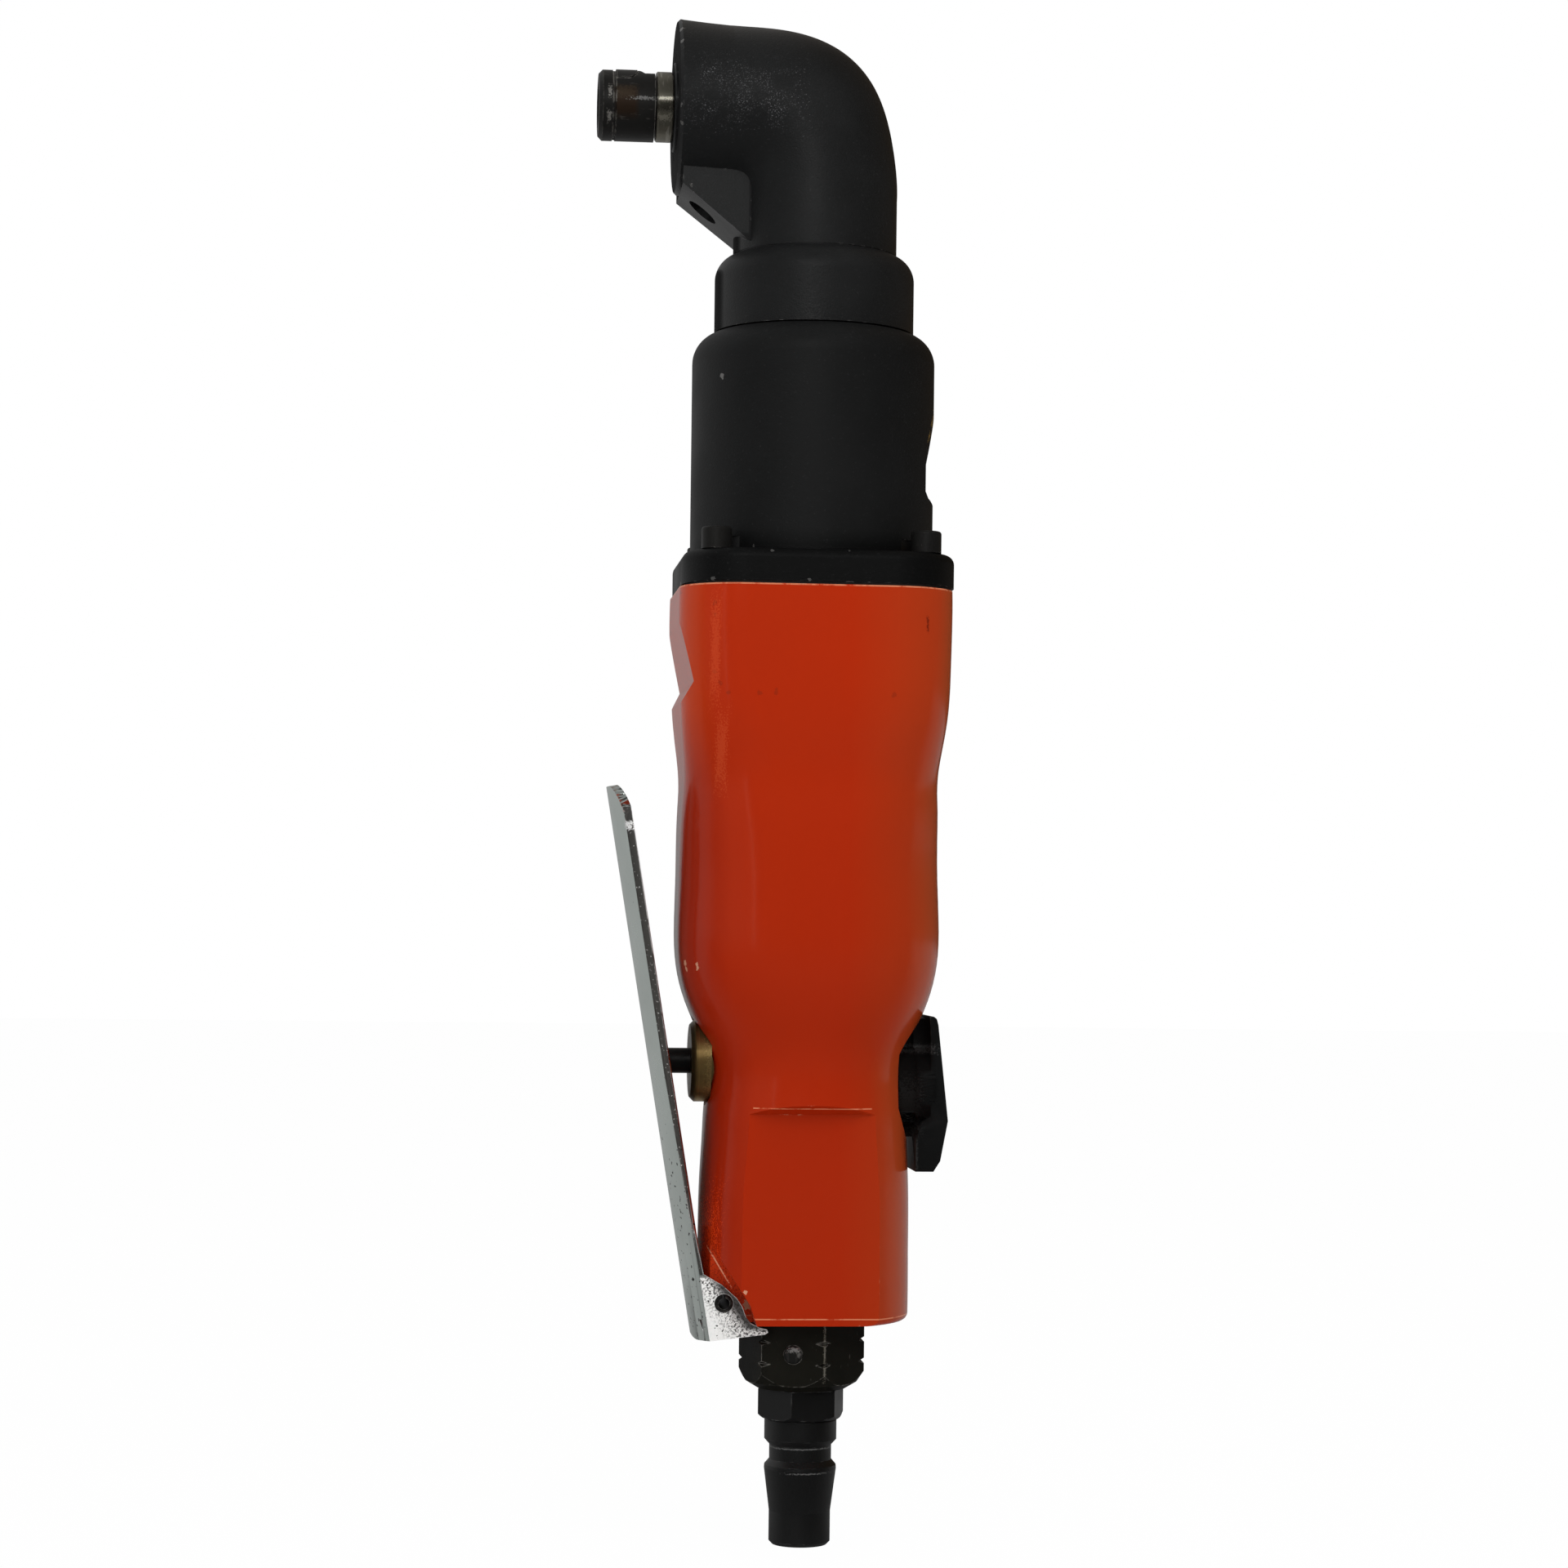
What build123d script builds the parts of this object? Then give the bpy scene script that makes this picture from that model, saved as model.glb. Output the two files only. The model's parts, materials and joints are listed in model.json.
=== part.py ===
import os
from math import atan2, cos, degrees, hypot, radians, sin, tan
from build123d import *

# Right angle air screwdriver. Millimetres, Z up along the handle, drive nose toward -X.
# The origin is the centre of the hand grip on the handle's axis.

# Fits
run_gap = 0.03
free_gap = 0.3
seat_gap = 0.02

# Levels along the handle
housing_bottom = -73.4
housing_edge = 1.3
housing_top = 55.5
gasket_thick = 0.4
flange_bottom = housing_top + gasket_thick
flange_thick = 5.8
flange_top = flange_bottom + flange_thick
case_top = 102.0
collar_height = 14.0
collar_top = case_top + collar_height

# Handle
grip_first = 71.5
grip_step = 8.0
grip_widths = [48.0, 48.0, 48.0, 48.0, 47.6, 46.7, 45.0, 45.5, 45.9, 46.4, 46.3,
               43.2, 37.0, 35.2, 36.4, 37.2, 37.5, 37.6, 37.6, 37.6, 37.6]
grip_shifts = [-0.3, -0.3, -0.3, -0.3, -0.2, -0.2, -0.3, -0.3, -0.3, -0.2, -0.15,
               -0.1, 0.0, 0.0, 0.0, 0.0, 0.0, 0.0, 0.0, 0.0, 0.0]
grip_corners = [11.2, 11.2, 11.2, 11.2, 11.5, 12.6, 14.6, 16.8, 18.4, 19.0, 19.0,
                18.6, 17.4, 16.8, 17.4, 17.9, 18.1, 18.2, 18.2, 18.2, 18.2]
motor_bore_r = 19.0
motor_floor = 4.5
label_flat_y = -14.7
label_top = -34.1
label_slope = 2.3

# Hammer case
case_r = 21.65
case_round = 5.5
case_bore_r = 18.4
case_roof = 93.5
spigot_end = 50.4
anvil_bush_r = 8.6
flange_width = 47.8
flange_corner = 11.0
screw_offset = 18.3
screw_r = 1.75
screw_head_r = 2.65
screw_head_h = 3.8
scoop_depth = 2.5
scoop_half = 10.0
screw_end = 39.0

# Impact drive and vane motor
cage_low = 57.0
cage_top = 90.5
cage_r = 17.6
pin_r = 2.2
pin_arm = 12.6
rotor_r = 13.1
vane_count = 5
vane_slot = 1.7
liner_offset = 1.2
rear_plate_top = 10.5
front_plate_low = 44.2
dowel_r = 1.2
dowel_arm = 16.4

# Angle head
collar_r = 17.8
collar_round = 4.6
neck_r = 14.6
spigot_r = 14.5
drive_z = 141.9
face_x = -25.2
face_r = 15.4
bend_x = -15.5
bend_z = 126.0
bend_inner = 0.9
bend_outer = [30.1, 30.6, 32.0, 33.2, 32.7, 31.2, 30.5]
gusset_x = -24.3
gusset_z = 126.7
gusset_lean = 38.5
gusset_front_half = 9.4
gusset_rear_half = 7.6
gusset_rear_x = -8.0
gusset_hole_x = -20.2
gusset_hole_r = 3.0
gusset_hole_depth = 6.5
front_bore_r = 9.6
cap_r = 7.8
cap_rise = 0.55
cap_depth = 1.6
gear_room_r = 10.4
gear_room_x = -11.3
neck_bore_r = 10.5

# Bevel pair, both axes meet at the height of the drive
pinion_teeth = 14
gear_teeth = 17
gear_module = 1.0
face_width = 4.0
pinion_pitch_r = pinion_teeth * gear_module / 2
gear_pitch_r = gear_teeth * gear_module / 2
cone_length = hypot(pinion_pitch_r, gear_pitch_r)

# Drive nose
nose_tip = -39.0
nose_r = 6.2
nose_rear = -29.1
groove_x = -36.5
groove_w = 0.5
pad_front = -38.0
pad_rear = -32.2
pad_half = 4.7
pad_low = 5.0
nib_r = 1.3
nib_x = -34.1
hex_flats = 6.35
hex_depth = 10.0
journal_r = 5.2
shaft_r = 4.0
ring_r = 6.15
bearing_shaft_r = 4.5
anvil_r = 6.0
pinion_bearing_low = 117.0
pinion_bearing_top = 126.0
spindle_shoulder = -11.9

# Throttle
throttle_z = -27.7
bush_r = 7.3
bush_face = -20.7
bush_seat = -17.2
throttle_bore_r = 6.0
stem_r = 2.25
stem_tip = -25.9
throttle_end = -1.5

# Lever
pivot_x = -14.8
pivot_z = -69.9
pivot_r = 1.6
lever_half = 10.0
lever_sheet = 1.5
lever_dish = 1.9
lever_lean = 9.42
lever_line_x = -22.9
lever_line_z = -58.4
lever_top = 20.8
lever_end_r = 7.0
tongue_half = lever_half - lever_sheet - free_gap

# Reverse knob
knob_z = -32.0
knob_hub_r = 7.35
knob_disc_r = 8.0
knob_seat = 15.8
knob_bar_half = 7.5
knob_reach = 16.3
valve_r = 3.6
valve_bush_r = 5.2
valve_end = 2.5
detent_arm = 6.1
detent_r = 0.75

# Inlet
inlet_flats = 19.6
inlet_turn = 14.1
inlet_bottom = -85.8
inlet_spigot_r = 8.2
plug_flats = 13.9
plug_turn = 12.7
plug_thread_r = 6.3
plug_tip = -113.8
plug_bore_r = 3.4


def cyl_x(x0, x1, r, y=0.0, z=0.0):
    return Pos((x0 + x1) / 2, y, z) * Rot(0, 90, 0) * Cylinder(r, abs(x1 - x0))


def cyl_y(y0, y1, r, x=0.0, z=0.0):
    return Pos(x, (y0 + y1) / 2, z) * Rot(90, 0, 0) * Cylinder(r, abs(y1 - y0))


def cyl_z(z0, z1, r, x=0.0, y=0.0):
    return Pos(x, y, (z0 + z1) / 2) * Cylinder(r, abs(z1 - z0))


def cone_z(z0, z1, r0, r1):
    return Pos(0, 0, (z0 + z1) / 2) * Cone(r0, r1, z1 - z0)


def cone_x(x0, x1, r0, r1, z=0.0):
    return Pos((x0 + x1) / 2, 0, z) * Rot(0, 90, 0) * Cone(r0, r1, x1 - x0)


def ring_z(z0, z1, outer, inner, x=0.0, y=0.0):
    return cyl_z(z0, z1, outer, x, y) - cyl_z(z0 - 1, z1 + 1, inner, x, y)


def ring_x(x0, x1, outer, inner, y=0.0, z=0.0):
    return cyl_x(x0, x1, outer, y, z) - cyl_x(x0 - 1, x1 + 1, inner, y, z)


def block(x0, x1, y0, y1, z0, z1):
    return Pos((x0 + x1) / 2, (y0 + y1) / 2, (z0 + z1) / 2) * Box(x1 - x0, y1 - y0, z1 - z0)


def slab(points, half):
    # A flat outline in the plane of X and Z, thickened to both sides along Y.
    outline = Plane.XZ * make_face(Polyline(*points, close=True))
    return extrude(outline, amount=half, both=True)


def save(name, shape):
    os.makedirs("parts", exist_ok=True)
    export_step(shape, "parts/" + name + ".step")


# Handle of the motor: square at the flange, round at the grip, narrow at the throttle
def housing_section(z, width, corner, shift):
    return Plane.XY.offset(z) * Pos(shift, 0) * RectangleRounded(width, width, corner)


def make_motor_housing():
    sections = []
    for i in range(len(grip_widths)):
        level = grip_first - grip_step * i
        sections.append(housing_section(level, grip_widths[i], grip_corners[i], grip_shifts[i]))
    body = loft(sections)
    body = body & block(-40, 40, -40, 40, housing_bottom, housing_top)
    body = fillet(body.edges().group_by(Axis.Z)[0], housing_edge)

    # Notch across the lever side
    notch = slab([(-30, 49.5), (-24.4, 49.5), (-22.0, 38.7), (-23.8, 35.4), (-30, 35.4)], 30)
    body = body - notch

    # Label flat with its sloped upper end
    flat = Plane.YZ * make_face(Polyline(
        (label_flat_y, housing_bottom - 5),
        (label_flat_y, label_top - label_slope),
        (label_flat_y - 4.4, label_top),
        (label_flat_y - 12, label_top),
        (label_flat_y - 12, housing_bottom - 5),
        close=True))
    body = body - extrude(flat, amount=30, both=True)

    # Hollow seat behind the knob and the flat under the throttle bush
    body = body - cone_x(knob_seat, 24.3, 10.4, 14.5, knob_z + 1.5)
    body = body - cyl_x(-30, bush_seat, bush_r + 0.7, 0, throttle_z)

    # Side pockets for the lever's ears leave a tongue between them
    pocket = [(-34, -56.0), (-19.4, -56.0), (-16.6, -60.4), (-10.5, -69.8), (-8.9, -74.6), (-34, -74.6)]
    ears = slab(pocket, 30) - block(-40, 0, -tongue_half, tongue_half, -80, -50)
    body = body - ears
    tongue_front = [(-30, -58.0), (-19.2, -58.0), (-17.9, -66.0), (-17.9, -80.0), (-30, -80.0)]
    body = body - slab(tongue_front, tongue_half + 1)
    body = body - cyl_y(-30, 30, pivot_r, pivot_x, pivot_z)

    # Motor bore, air ways, valve bores and inlet thread bore
    body = body - cyl_z(motor_floor, housing_top + 5, motor_bore_r)
    body = body - cyl_z(motor_floor - 2, motor_floor + 1, 6.0)
    body = body - cyl_x(-30, throttle_end, throttle_bore_r, 0, throttle_z)
    body = body - cyl_x(valve_end, 30, valve_bush_r, 0, knob_z)
    body = body - cyl_x(-5, 3, 2.4, 0, knob_z + 1.5)
    body = body - cyl_z(throttle_z, -51.0, 3.0, -7.0)
    body = body - cyl_z(-50.0, housing_bottom - 1, inlet_spigot_r)
    body = body - cyl_z(knob_z, motor_floor + 1, 2.0, 8.0, 4.2)
    body = body - cyl_z(knob_z, motor_floor + 1, 2.0, 8.0, -4.2)

    # Thread bores of the four flange screws and the hole of the knob's detent
    for sx in (-1, 1):
        for sy in (-1, 1):
            x = sx * screw_offset
            y = sy * screw_offset
            body = body - cyl_z(screw_end - 0.5, housing_top + 1, screw_r, x, y)
    body = body - cyl_x(9.0, knob_seat + 1, detent_r + run_gap, 0, knob_z - detent_arm)
    return body


# Square flange with the round hammer barrel on it
def make_hammer_case():
    plate = RectangleRounded(flange_width, flange_width, flange_corner)
    flange = extrude(Plane.XY.offset(flange_bottom) * plate, amount=flange_thick)
    flange = fillet(flange.edges().group_by(Axis.Z)[-1], 1.6)
    barrel = cyl_z(flange_bottom, case_top, case_r)
    barrel = fillet(barrel.edges().group_by(Axis.Z)[-1], case_round)
    body = flange + barrel
    # Spigot that reaches into the handle and holds the motor
    body = body + cyl_z(spigot_end, flange_bottom + 1, motor_bore_r - seat_gap)
    # Hammer room and the bore of the shaft's bush
    body = body - cyl_z(spigot_end - 1, case_roof, case_bore_r - 2.0)
    body = body - cyl_z(flange_bottom + 0.5, case_roof, case_bore_r)
    body = body - cyl_z(case_roof - 1, case_top + 1, anvil_bush_r)
    # Scoop beside the barrel, long ramp above and short step below
    floor_x = case_r - scoop_depth
    scoop = slab([(case_r + 0.3, 89.6), (floor_x, 78.0), (floor_x, 73.6), (floor_x + 0.7, 72.5),
                  (case_r + 0.6, 71.2), (case_r + 6, 71.2), (case_r + 6, 89.6)], scoop_half)
    body = body - scoop
    for sx in (-1, 1):
        for sy in (-1, 1):
            x = sx * screw_offset
            y = sy * screw_offset
            body = body - cyl_z(flange_bottom - 1, flange_top + 1, screw_r + 0.15, x, y)
            body = body - cyl_z(flange_top, flange_top + 2.6, screw_head_r + 1.9, x, y)
    return body


def make_flange_gasket():
    outline = RectangleRounded(flange_width - 1.0, flange_width - 1.0, flange_corner)
    sheet = extrude(Plane.XY.offset(housing_top) * outline, amount=gasket_thick)
    sheet = sheet - cyl_z(housing_top - 1, flange_bottom + 1, motor_bore_r + 0.1)
    for sx in (-1, 1):
        for sy in (-1, 1):
            sheet = sheet - cyl_z(housing_top - 1, flange_bottom + 1, screw_r + 0.15,
                                  sx * screw_offset, sy * screw_offset)
    return sheet


def make_flange_screws():
    screws = []
    for sx in (-1, 1):
        for sy in (-1, 1):
            x = sx * screw_offset
            y = sy * screw_offset
            head = cyl_z(flange_top, flange_top + screw_head_h, screw_head_r, x, y)
            head = fillet(head.edges().group_by(Axis.Z)[-1], 0.5)
            key = Pos(x, y, flange_top + screw_head_h - 2.0) * extrude(RegularPolygon(1.7, 6), amount=3)
            screws.append(head + cyl_z(screw_end, flange_top + 0.5, screw_r, x, y) - key)
    return Compound(children=screws)


def make_head_lock_collar():
    ring = cyl_z(case_top, collar_top, collar_r)
    ring = fillet(ring.edges().group_by(Axis.Z)[-1], collar_round)
    return ring - cyl_z(case_top - 1, collar_top + 1, spigot_r + seat_gap)


# Elbow of the angle head: upright neck, full bend and the tapered front barrel
def make_angle_head_housing():
    neck = cyl_z(collar_top, bend_z, neck_r)
    spigot = cyl_z(case_top + 0.2, collar_top + 1, spigot_r)
    # The bend runs through oval sections that turn about the inner corner
    sections = []
    steps = len(bend_outer) - 1
    front_half = (bend_outer[steps] - bend_inner) / 2
    for i in range(steps + 1):
        turn = radians(90 * i / steps)
        outward = Vector(cos(turn), 0, sin(turn))
        half = (bend_outer[i] - bend_inner) / 2
        centre = Vector(bend_x, 0, bend_z) + outward * (bend_inner + half)
        plane = Plane(centre, x_dir=outward, z_dir=(-sin(turn), 0, cos(turn)))
        side = neck_r + (front_half - neck_r) * i / steps
        sections.append(plane * Ellipse(half, side))
    bend = loft(sections)
    front_z = bend_z + bend_inner + front_half
    start = Plane((bend_x, 0, front_z), x_dir=(0, 1, 0), z_dir=(-1, 0, 0)) * Circle(front_half)
    end = Plane((face_x, 0, drive_z), x_dir=(0, 1, 0), z_dir=(-1, 0, 0)) * Circle(face_r)
    front = loft([start, end])
    front = chamfer(front.edges().filter_by(GeomType.CIRCLE).sort_by(Axis.X)[0], 0.5)
    # Gusset in the inner corner, its lower face lies across the corner and holds a round hole
    plan = Plane.XY.offset(collar_top) * make_face(Polyline(
        (gusset_x, -gusset_front_half), (gusset_rear_x, -gusset_rear_half),
        (gusset_rear_x, gusset_rear_half), (gusset_x, gusset_front_half), close=True))
    drop = tan(radians(gusset_lean))
    low = collar_top + 0.03
    wedge = slab([(gusset_x, front_z - 5), (gusset_x, gusset_z), (gusset_x + (gusset_z - low) / drop, low),
                  (gusset_rear_x, low), (gusset_rear_x, front_z - 5)], 20)
    gusset = extrude(plan, amount=30) & wedge
    body = neck + spigot + bend + front + gusset
    hole_z = gusset_z - (gusset_hole_x - gusset_x) * drop
    inward = (sin(radians(gusset_lean)), 0, cos(radians(gusset_lean)))
    hole_plane = Plane((gusset_hole_x, 0, hole_z), x_dir=(0, 1, 0), z_dir=inward).offset(-1.5)
    body = body - extrude(hole_plane * Circle(gusset_hole_r), amount=gusset_hole_depth + 1.5)
    # Bores for shaft, gears and spindle
    body = body - cyl_z(case_top - 1, drive_z - 3.9, neck_bore_r)
    body = body - cyl_x(face_x - 1, gear_room_x, front_bore_r, 0, drive_z)
    body = body - cyl_x(gear_room_x - 0.2, -2.4, gear_room_r, 0, drive_z)
    return body


# Cap that closes the front bore, with a low boss around the nose
def make_head_front_cap():
    hole_r = journal_r + free_gap
    cap = ring_x(face_x + 0.05, face_x + cap_depth, front_bore_r, hole_r, 0, drive_z)
    boss = cyl_x(face_x - cap_rise, face_x + 0.5, cap_r, 0, drive_z)
    boss = chamfer(boss.edges().group_by(Axis.X)[0], 0.25)
    return cap + (boss - cyl_x(face_x - 2, face_x + 1, hole_r, 0, drive_z))


# A straight bevel gear about the upright axis, its apex at the origin and its back upward
def bevel(teeth, pitch_r, other_r, bore_r, hub_r, hub_end):
    tilt = atan2(pitch_r, other_r)
    add = 0.8 * gear_module
    ded = 1.1 * gear_module
    half = 0.66 * gear_module
    slope = tan(radians(20))
    scale = (cone_length - face_width) / cone_length

    def tip(height, k):
        return ((pitch_r + height * cos(tilt)) * k, (other_r - height * sin(tilt)) * k)

    root_out = tip(-ded, 1.0)
    root_in = tip(-ded, scale)
    outline = [(bore_r, root_in[1]), root_in, root_out, (root_out[0] - 0.6, root_out[1] + 1.0),
               (hub_r, root_out[1] + 1.0), (hub_r, hub_end), (bore_r, hub_end)]
    body = revolve(Plane.XZ * make_face(Polyline(*outline, close=True)), Axis.Z, 360)
    rings = []
    for k in (1.0, scale):
        low = tip(-ded - 0.15, k)
        high = tip(add, k)
        wide = (half + (ded + 0.15) * slope) * k
        narrow = (half - add * slope) * k
        rings.append(make_face(Polyline((low[0], -wide, low[1]), (high[0], -narrow, high[1]),
                                        (high[0], narrow, high[1]), (low[0], wide, low[1]), close=True)))
    tooth = loft(rings, ruled=True)
    for i in range(teeth):
        body = body + Rot(0, 0, 360 * i / teeth) * tooth
    return body


def make_bevel_pinion():
    gear = bevel(pinion_teeth, pinion_pitch_r, gear_pitch_r, 3.5, 5.6, drive_z - pinion_bearing_top - 0.1)
    return Pos(0, 0, drive_z) * Rot(0, 180, 0) * gear


def make_bevel_gear():
    gear = bevel(gear_teeth, gear_pitch_r, pinion_pitch_r, shaft_r, 6.4, -spindle_shoulder)
    return Pos(0, 0, drive_z) * Rot(0, -90, 0) * gear


# Drive nose with its hex socket, the detent pad's seat and the ring groove
def pad_outline(grow):
    plan = Pos((pad_front + pad_rear) / 2, 0) * RectangleRounded(pad_rear - pad_front + 2 * grow,
                                                                 2 * pad_half + 2 * grow, 1.8)
    return extrude(Plane.XY.offset(drive_z) * plan, amount=12)


def make_output_spindle():
    nose = cyl_x(nose_tip, nose_rear, nose_r, 0, drive_z)
    nose = chamfer(nose.edges().group_by(Axis.X)[0], 0.7)
    body = nose + cyl_x(nose_rear - 0.5, spindle_shoulder, journal_r, 0, drive_z)
    body = body + cyl_x(spindle_shoulder - 0.5, -3.5, shaft_r, 0, drive_z)
    # Ring groove behind the tip collar
    body = body - ring_x(groove_x, groove_x + groove_w, nose_r + 1, nose_r - 0.75, 0, drive_z)
    # Lowered top behind the pad
    top = drive_z + nose_r
    relief = slab([(pad_rear + 0.1, top + 0.1), (pad_rear + 1.3, top - 1.05), (nose_rear + 1, top - 1.05),
                   (nose_rear + 1, top + 2), (pad_rear + 0.1, top + 2)], 8)
    body = body - (relief - cyl_x(nose_rear, 0, 20, 0, drive_z))
    # Seat of the pad
    seat = ring_x(groove_x + groove_w, pad_rear + 1, nose_r + 2, pad_low, 0, drive_z)
    body = body - (pad_outline(2 * run_gap) & seat)
    body = body - cyl_z(drive_z, drive_z + nose_r, nib_r + 2 * run_gap, nib_x)
    # Hex socket with its lead-in
    tip_plane = Plane((nose_tip, 0, drive_z), x_dir=(0, 1, 0), z_dir=(1, 0, 0))
    socket = tip_plane * RegularPolygon(hex_flats / 2, 6, major_radius=False)
    body = body - extrude(socket, amount=hex_depth)
    body = body - cone_x(nose_tip - 0.01, nose_tip + 0.9, 4.1, 3.2, drive_z)
    return body


def make_bit_detent_key():
    shell = ring_x(groove_x + groove_w + 0.06, pad_rear + 1, nose_r + 0.12, pad_low + 0.05, 0, drive_z)
    pad = pad_outline(0.0) & shell
    nib = cyl_z(drive_z + 3.0, drive_z + pad_low + 0.4, nib_r, nib_x)
    return pad + fillet(nib.edges().group_by(Axis.Z)[0], 0.4)


def make_bit_retaining_ring():
    ring = ring_x(groove_x + 0.04, groove_x + groove_w - 0.04, nose_r - 0.2, nose_r - 0.75, 0, drive_z)
    return ring - block(-40, -30, -0.6, 0.6, drive_z - 8, drive_z)


def make_spindle_journal_ring():
    ring = ring_x(nose_rear + 0.3, face_x - cap_rise - 0.1, ring_r, journal_r, 0, drive_z)
    return chamfer(ring.edges().filter_by(GeomType.CIRCLE).group_by(SortBy.RADIUS)[-1], 0.25)


def bearing_x(x0, x1, outer, inner):
    # Closed bearing: two races with a shallow shield groove on both faces
    ring = ring_x(x0, x1, outer, inner, 0, drive_z)
    mid = (outer + inner) / 2
    ring = ring - ring_x(x0 - 1, x0 + 0.4, mid + 0.9, mid - 0.9, 0, drive_z)
    return ring - ring_x(x1 - 0.4, x1 + 1, mid + 0.9, mid - 0.9, 0, drive_z)


def bearing_z(z0, z1, outer, inner):
    ring = ring_z(z0, z1, outer, inner)
    mid = (outer + inner) / 2
    ring = ring - ring_z(z0 - 1, z0 + 0.4, mid + 0.9, mid - 0.9)
    return ring - ring_z(z1 - 0.4, z1 + 1, mid + 0.9, mid - 0.9)


# Impact drive: the cage carries the dog on its pin, the dog strikes the shaft's jaw
def make_anvil_shaft():
    body = cyl_z(66.0, 107.0, anvil_r) + cyl_z(61.2, 66.5, 3.4)
    body = body + cyl_z(106.5, pinion_bearing_top, bearing_shaft_r - run_gap)
    body = body + cyl_z(pinion_bearing_top - 0.5, drive_z - 6.1, 3.5)
    jaw = block(-3.2, 3.2, 2.0, 8.2, 66.5, 84.0) & cyl_z(66.0, 85.0, 8.2)
    body = body + jaw
    return body


def make_hammer_cage():
    body = cyl_z(cage_low, cage_top, cage_r)
    body = body - cyl_z(cage_low + 6.5, cage_top - 4.5, 12.6)
    body = body - block(-3.0, 30, -30, 30, cage_low + 6.5, cage_top - 4.5)
    body = body - cyl_z(cage_top - 6, cage_top + 1, anvil_r + free_gap)
    body = body - cyl_z(60.8, 70.0, 3.4 + free_gap)
    body = body - Pos(0, 0, cage_low - 1) * extrude(RegularPolygon(3.8, 6, major_radius=False), amount=4.8)
    body = body - cyl_z(cage_low + 2, cage_top - 1, pin_r, pin_arm)
    return body


def make_hammer_dog():
    low = cage_low + 6.7
    high = cage_top - 4.7
    body = ring_z(low, high, 11.9, 8.9)
    body = body + cyl_z(low, high, 4.2, pin_arm)
    body = body + (block(-9.4, -6.6, 1.0, 7.0, low + 4, high - 4) & cyl_z(low, high, 10.0))
    body = body - cyl_z(low - 1, high + 1, 7.6)
    return body - cyl_z(low - 1, high + 1, pin_r + run_gap, pin_arm)


# Vane motor
def make_rotor():
    body = cyl_z(10.8, 43.9, rotor_r) + cyl_z(4.8, 11.0, 3.5) + cyl_z(43.5, 50.7, 4.5)
    body = body + Pos(0, 0, 50.2) * extrude(RegularPolygon(3.8, 6, major_radius=False), amount=10.3)
    for i in range(vane_count):
        slot = block(6.8, 20, -vane_slot / 2, vane_slot / 2, 10.0, 44.5)
        body = body - Rot(0, 0, 360 * i / vane_count) * slot
    return body


def make_rotor_vanes():
    vane = block(6.9, rotor_r - 0.1, -vane_slot / 2 + run_gap, vane_slot / 2 - run_gap, 11.0, 43.7)
    return Compound(children=[Rot(0, 0, 360 * i / vane_count) * vane for i in range(vane_count)])


def make_motor_cylinder():
    body = cyl_z(rear_plate_top, front_plate_low, motor_bore_r - seat_gap)
    body = body - cyl_z(rear_plate_top - 1, front_plate_low + 1, 14.7, 0, liner_offset)
    for z in (18.0, 27.0, 36.0):
        body = body - cyl_x(-30, -10, 1.8, 0, z)
    return body - cyl_z(rear_plate_top - 1, rear_plate_top + 4, dowel_r, 0, -dowel_arm)


def make_front_end_plate():
    body = ring_z(front_plate_low, spigot_end, motor_bore_r - seat_gap, 9.0)
    return body + ring_z(front_plate_low, front_plate_low + 1.0, 9.5, 6.0)


def make_rear_end_plate():
    body = ring_z(motor_floor, rear_plate_top, motor_bore_r - seat_gap, 8.0)
    body = body + ring_z(rear_plate_top - 0.8, rear_plate_top, 8.5, 5.0)
    body = body - cyl_z(motor_floor - 1, rear_plate_top + 1, 2.0, 10.6, 4.2)
    body = body - cyl_z(motor_floor - 1, rear_plate_top + 1, 2.0, 10.6, -4.2)
    return body - cyl_z(rear_plate_top - 4, rear_plate_top + 1, dowel_r, 0, -dowel_arm)


# Throttle valve
def make_throttle_bush():
    flange = cyl_x(bush_face, bush_seat, bush_r, 0, throttle_z)
    flange = chamfer(flange.edges().group_by(Axis.X)[0], 0.8)
    body = flange + cyl_x(bush_seat - 0.5, -12.0, throttle_bore_r, 0, throttle_z)
    return body - cyl_x(-30, 0, stem_r + run_gap, 0, throttle_z)


def make_throttle_stem():
    stem = cyl_x(stem_tip, -8.2, stem_r, 0, throttle_z)
    stem = fillet(stem.edges().group_by(Axis.X)[0], 0.6)
    return stem + cyl_x(-10.2, -8.2, 4.3, 0, throttle_z)


def make_throttle_seal():
    return ring_x(-11.6, -10.2, 3.9, stem_r, 0, throttle_z)


def coil_x(x0, x1, radius, wire, turns, y, z):
    length = x1 - x0 - 2 * wire
    path = Helix(length / turns, length, radius, center=(x0 + wire, y, z), direction=(1, 0, 0))
    return sweep(Plane(path @ 0, z_dir=path % 0) * Circle(wire), path)


def make_throttle_spring():
    return coil_x(-8.1, throttle_end, 3.2, 0.35, 4, 0, throttle_z)


# Pressed lever: a dished blade that ends in a channel with two ears on the pivot
def lever_line(z):
    return lever_line_x - (z - lever_line_z) * tan(radians(lever_lean))


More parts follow.
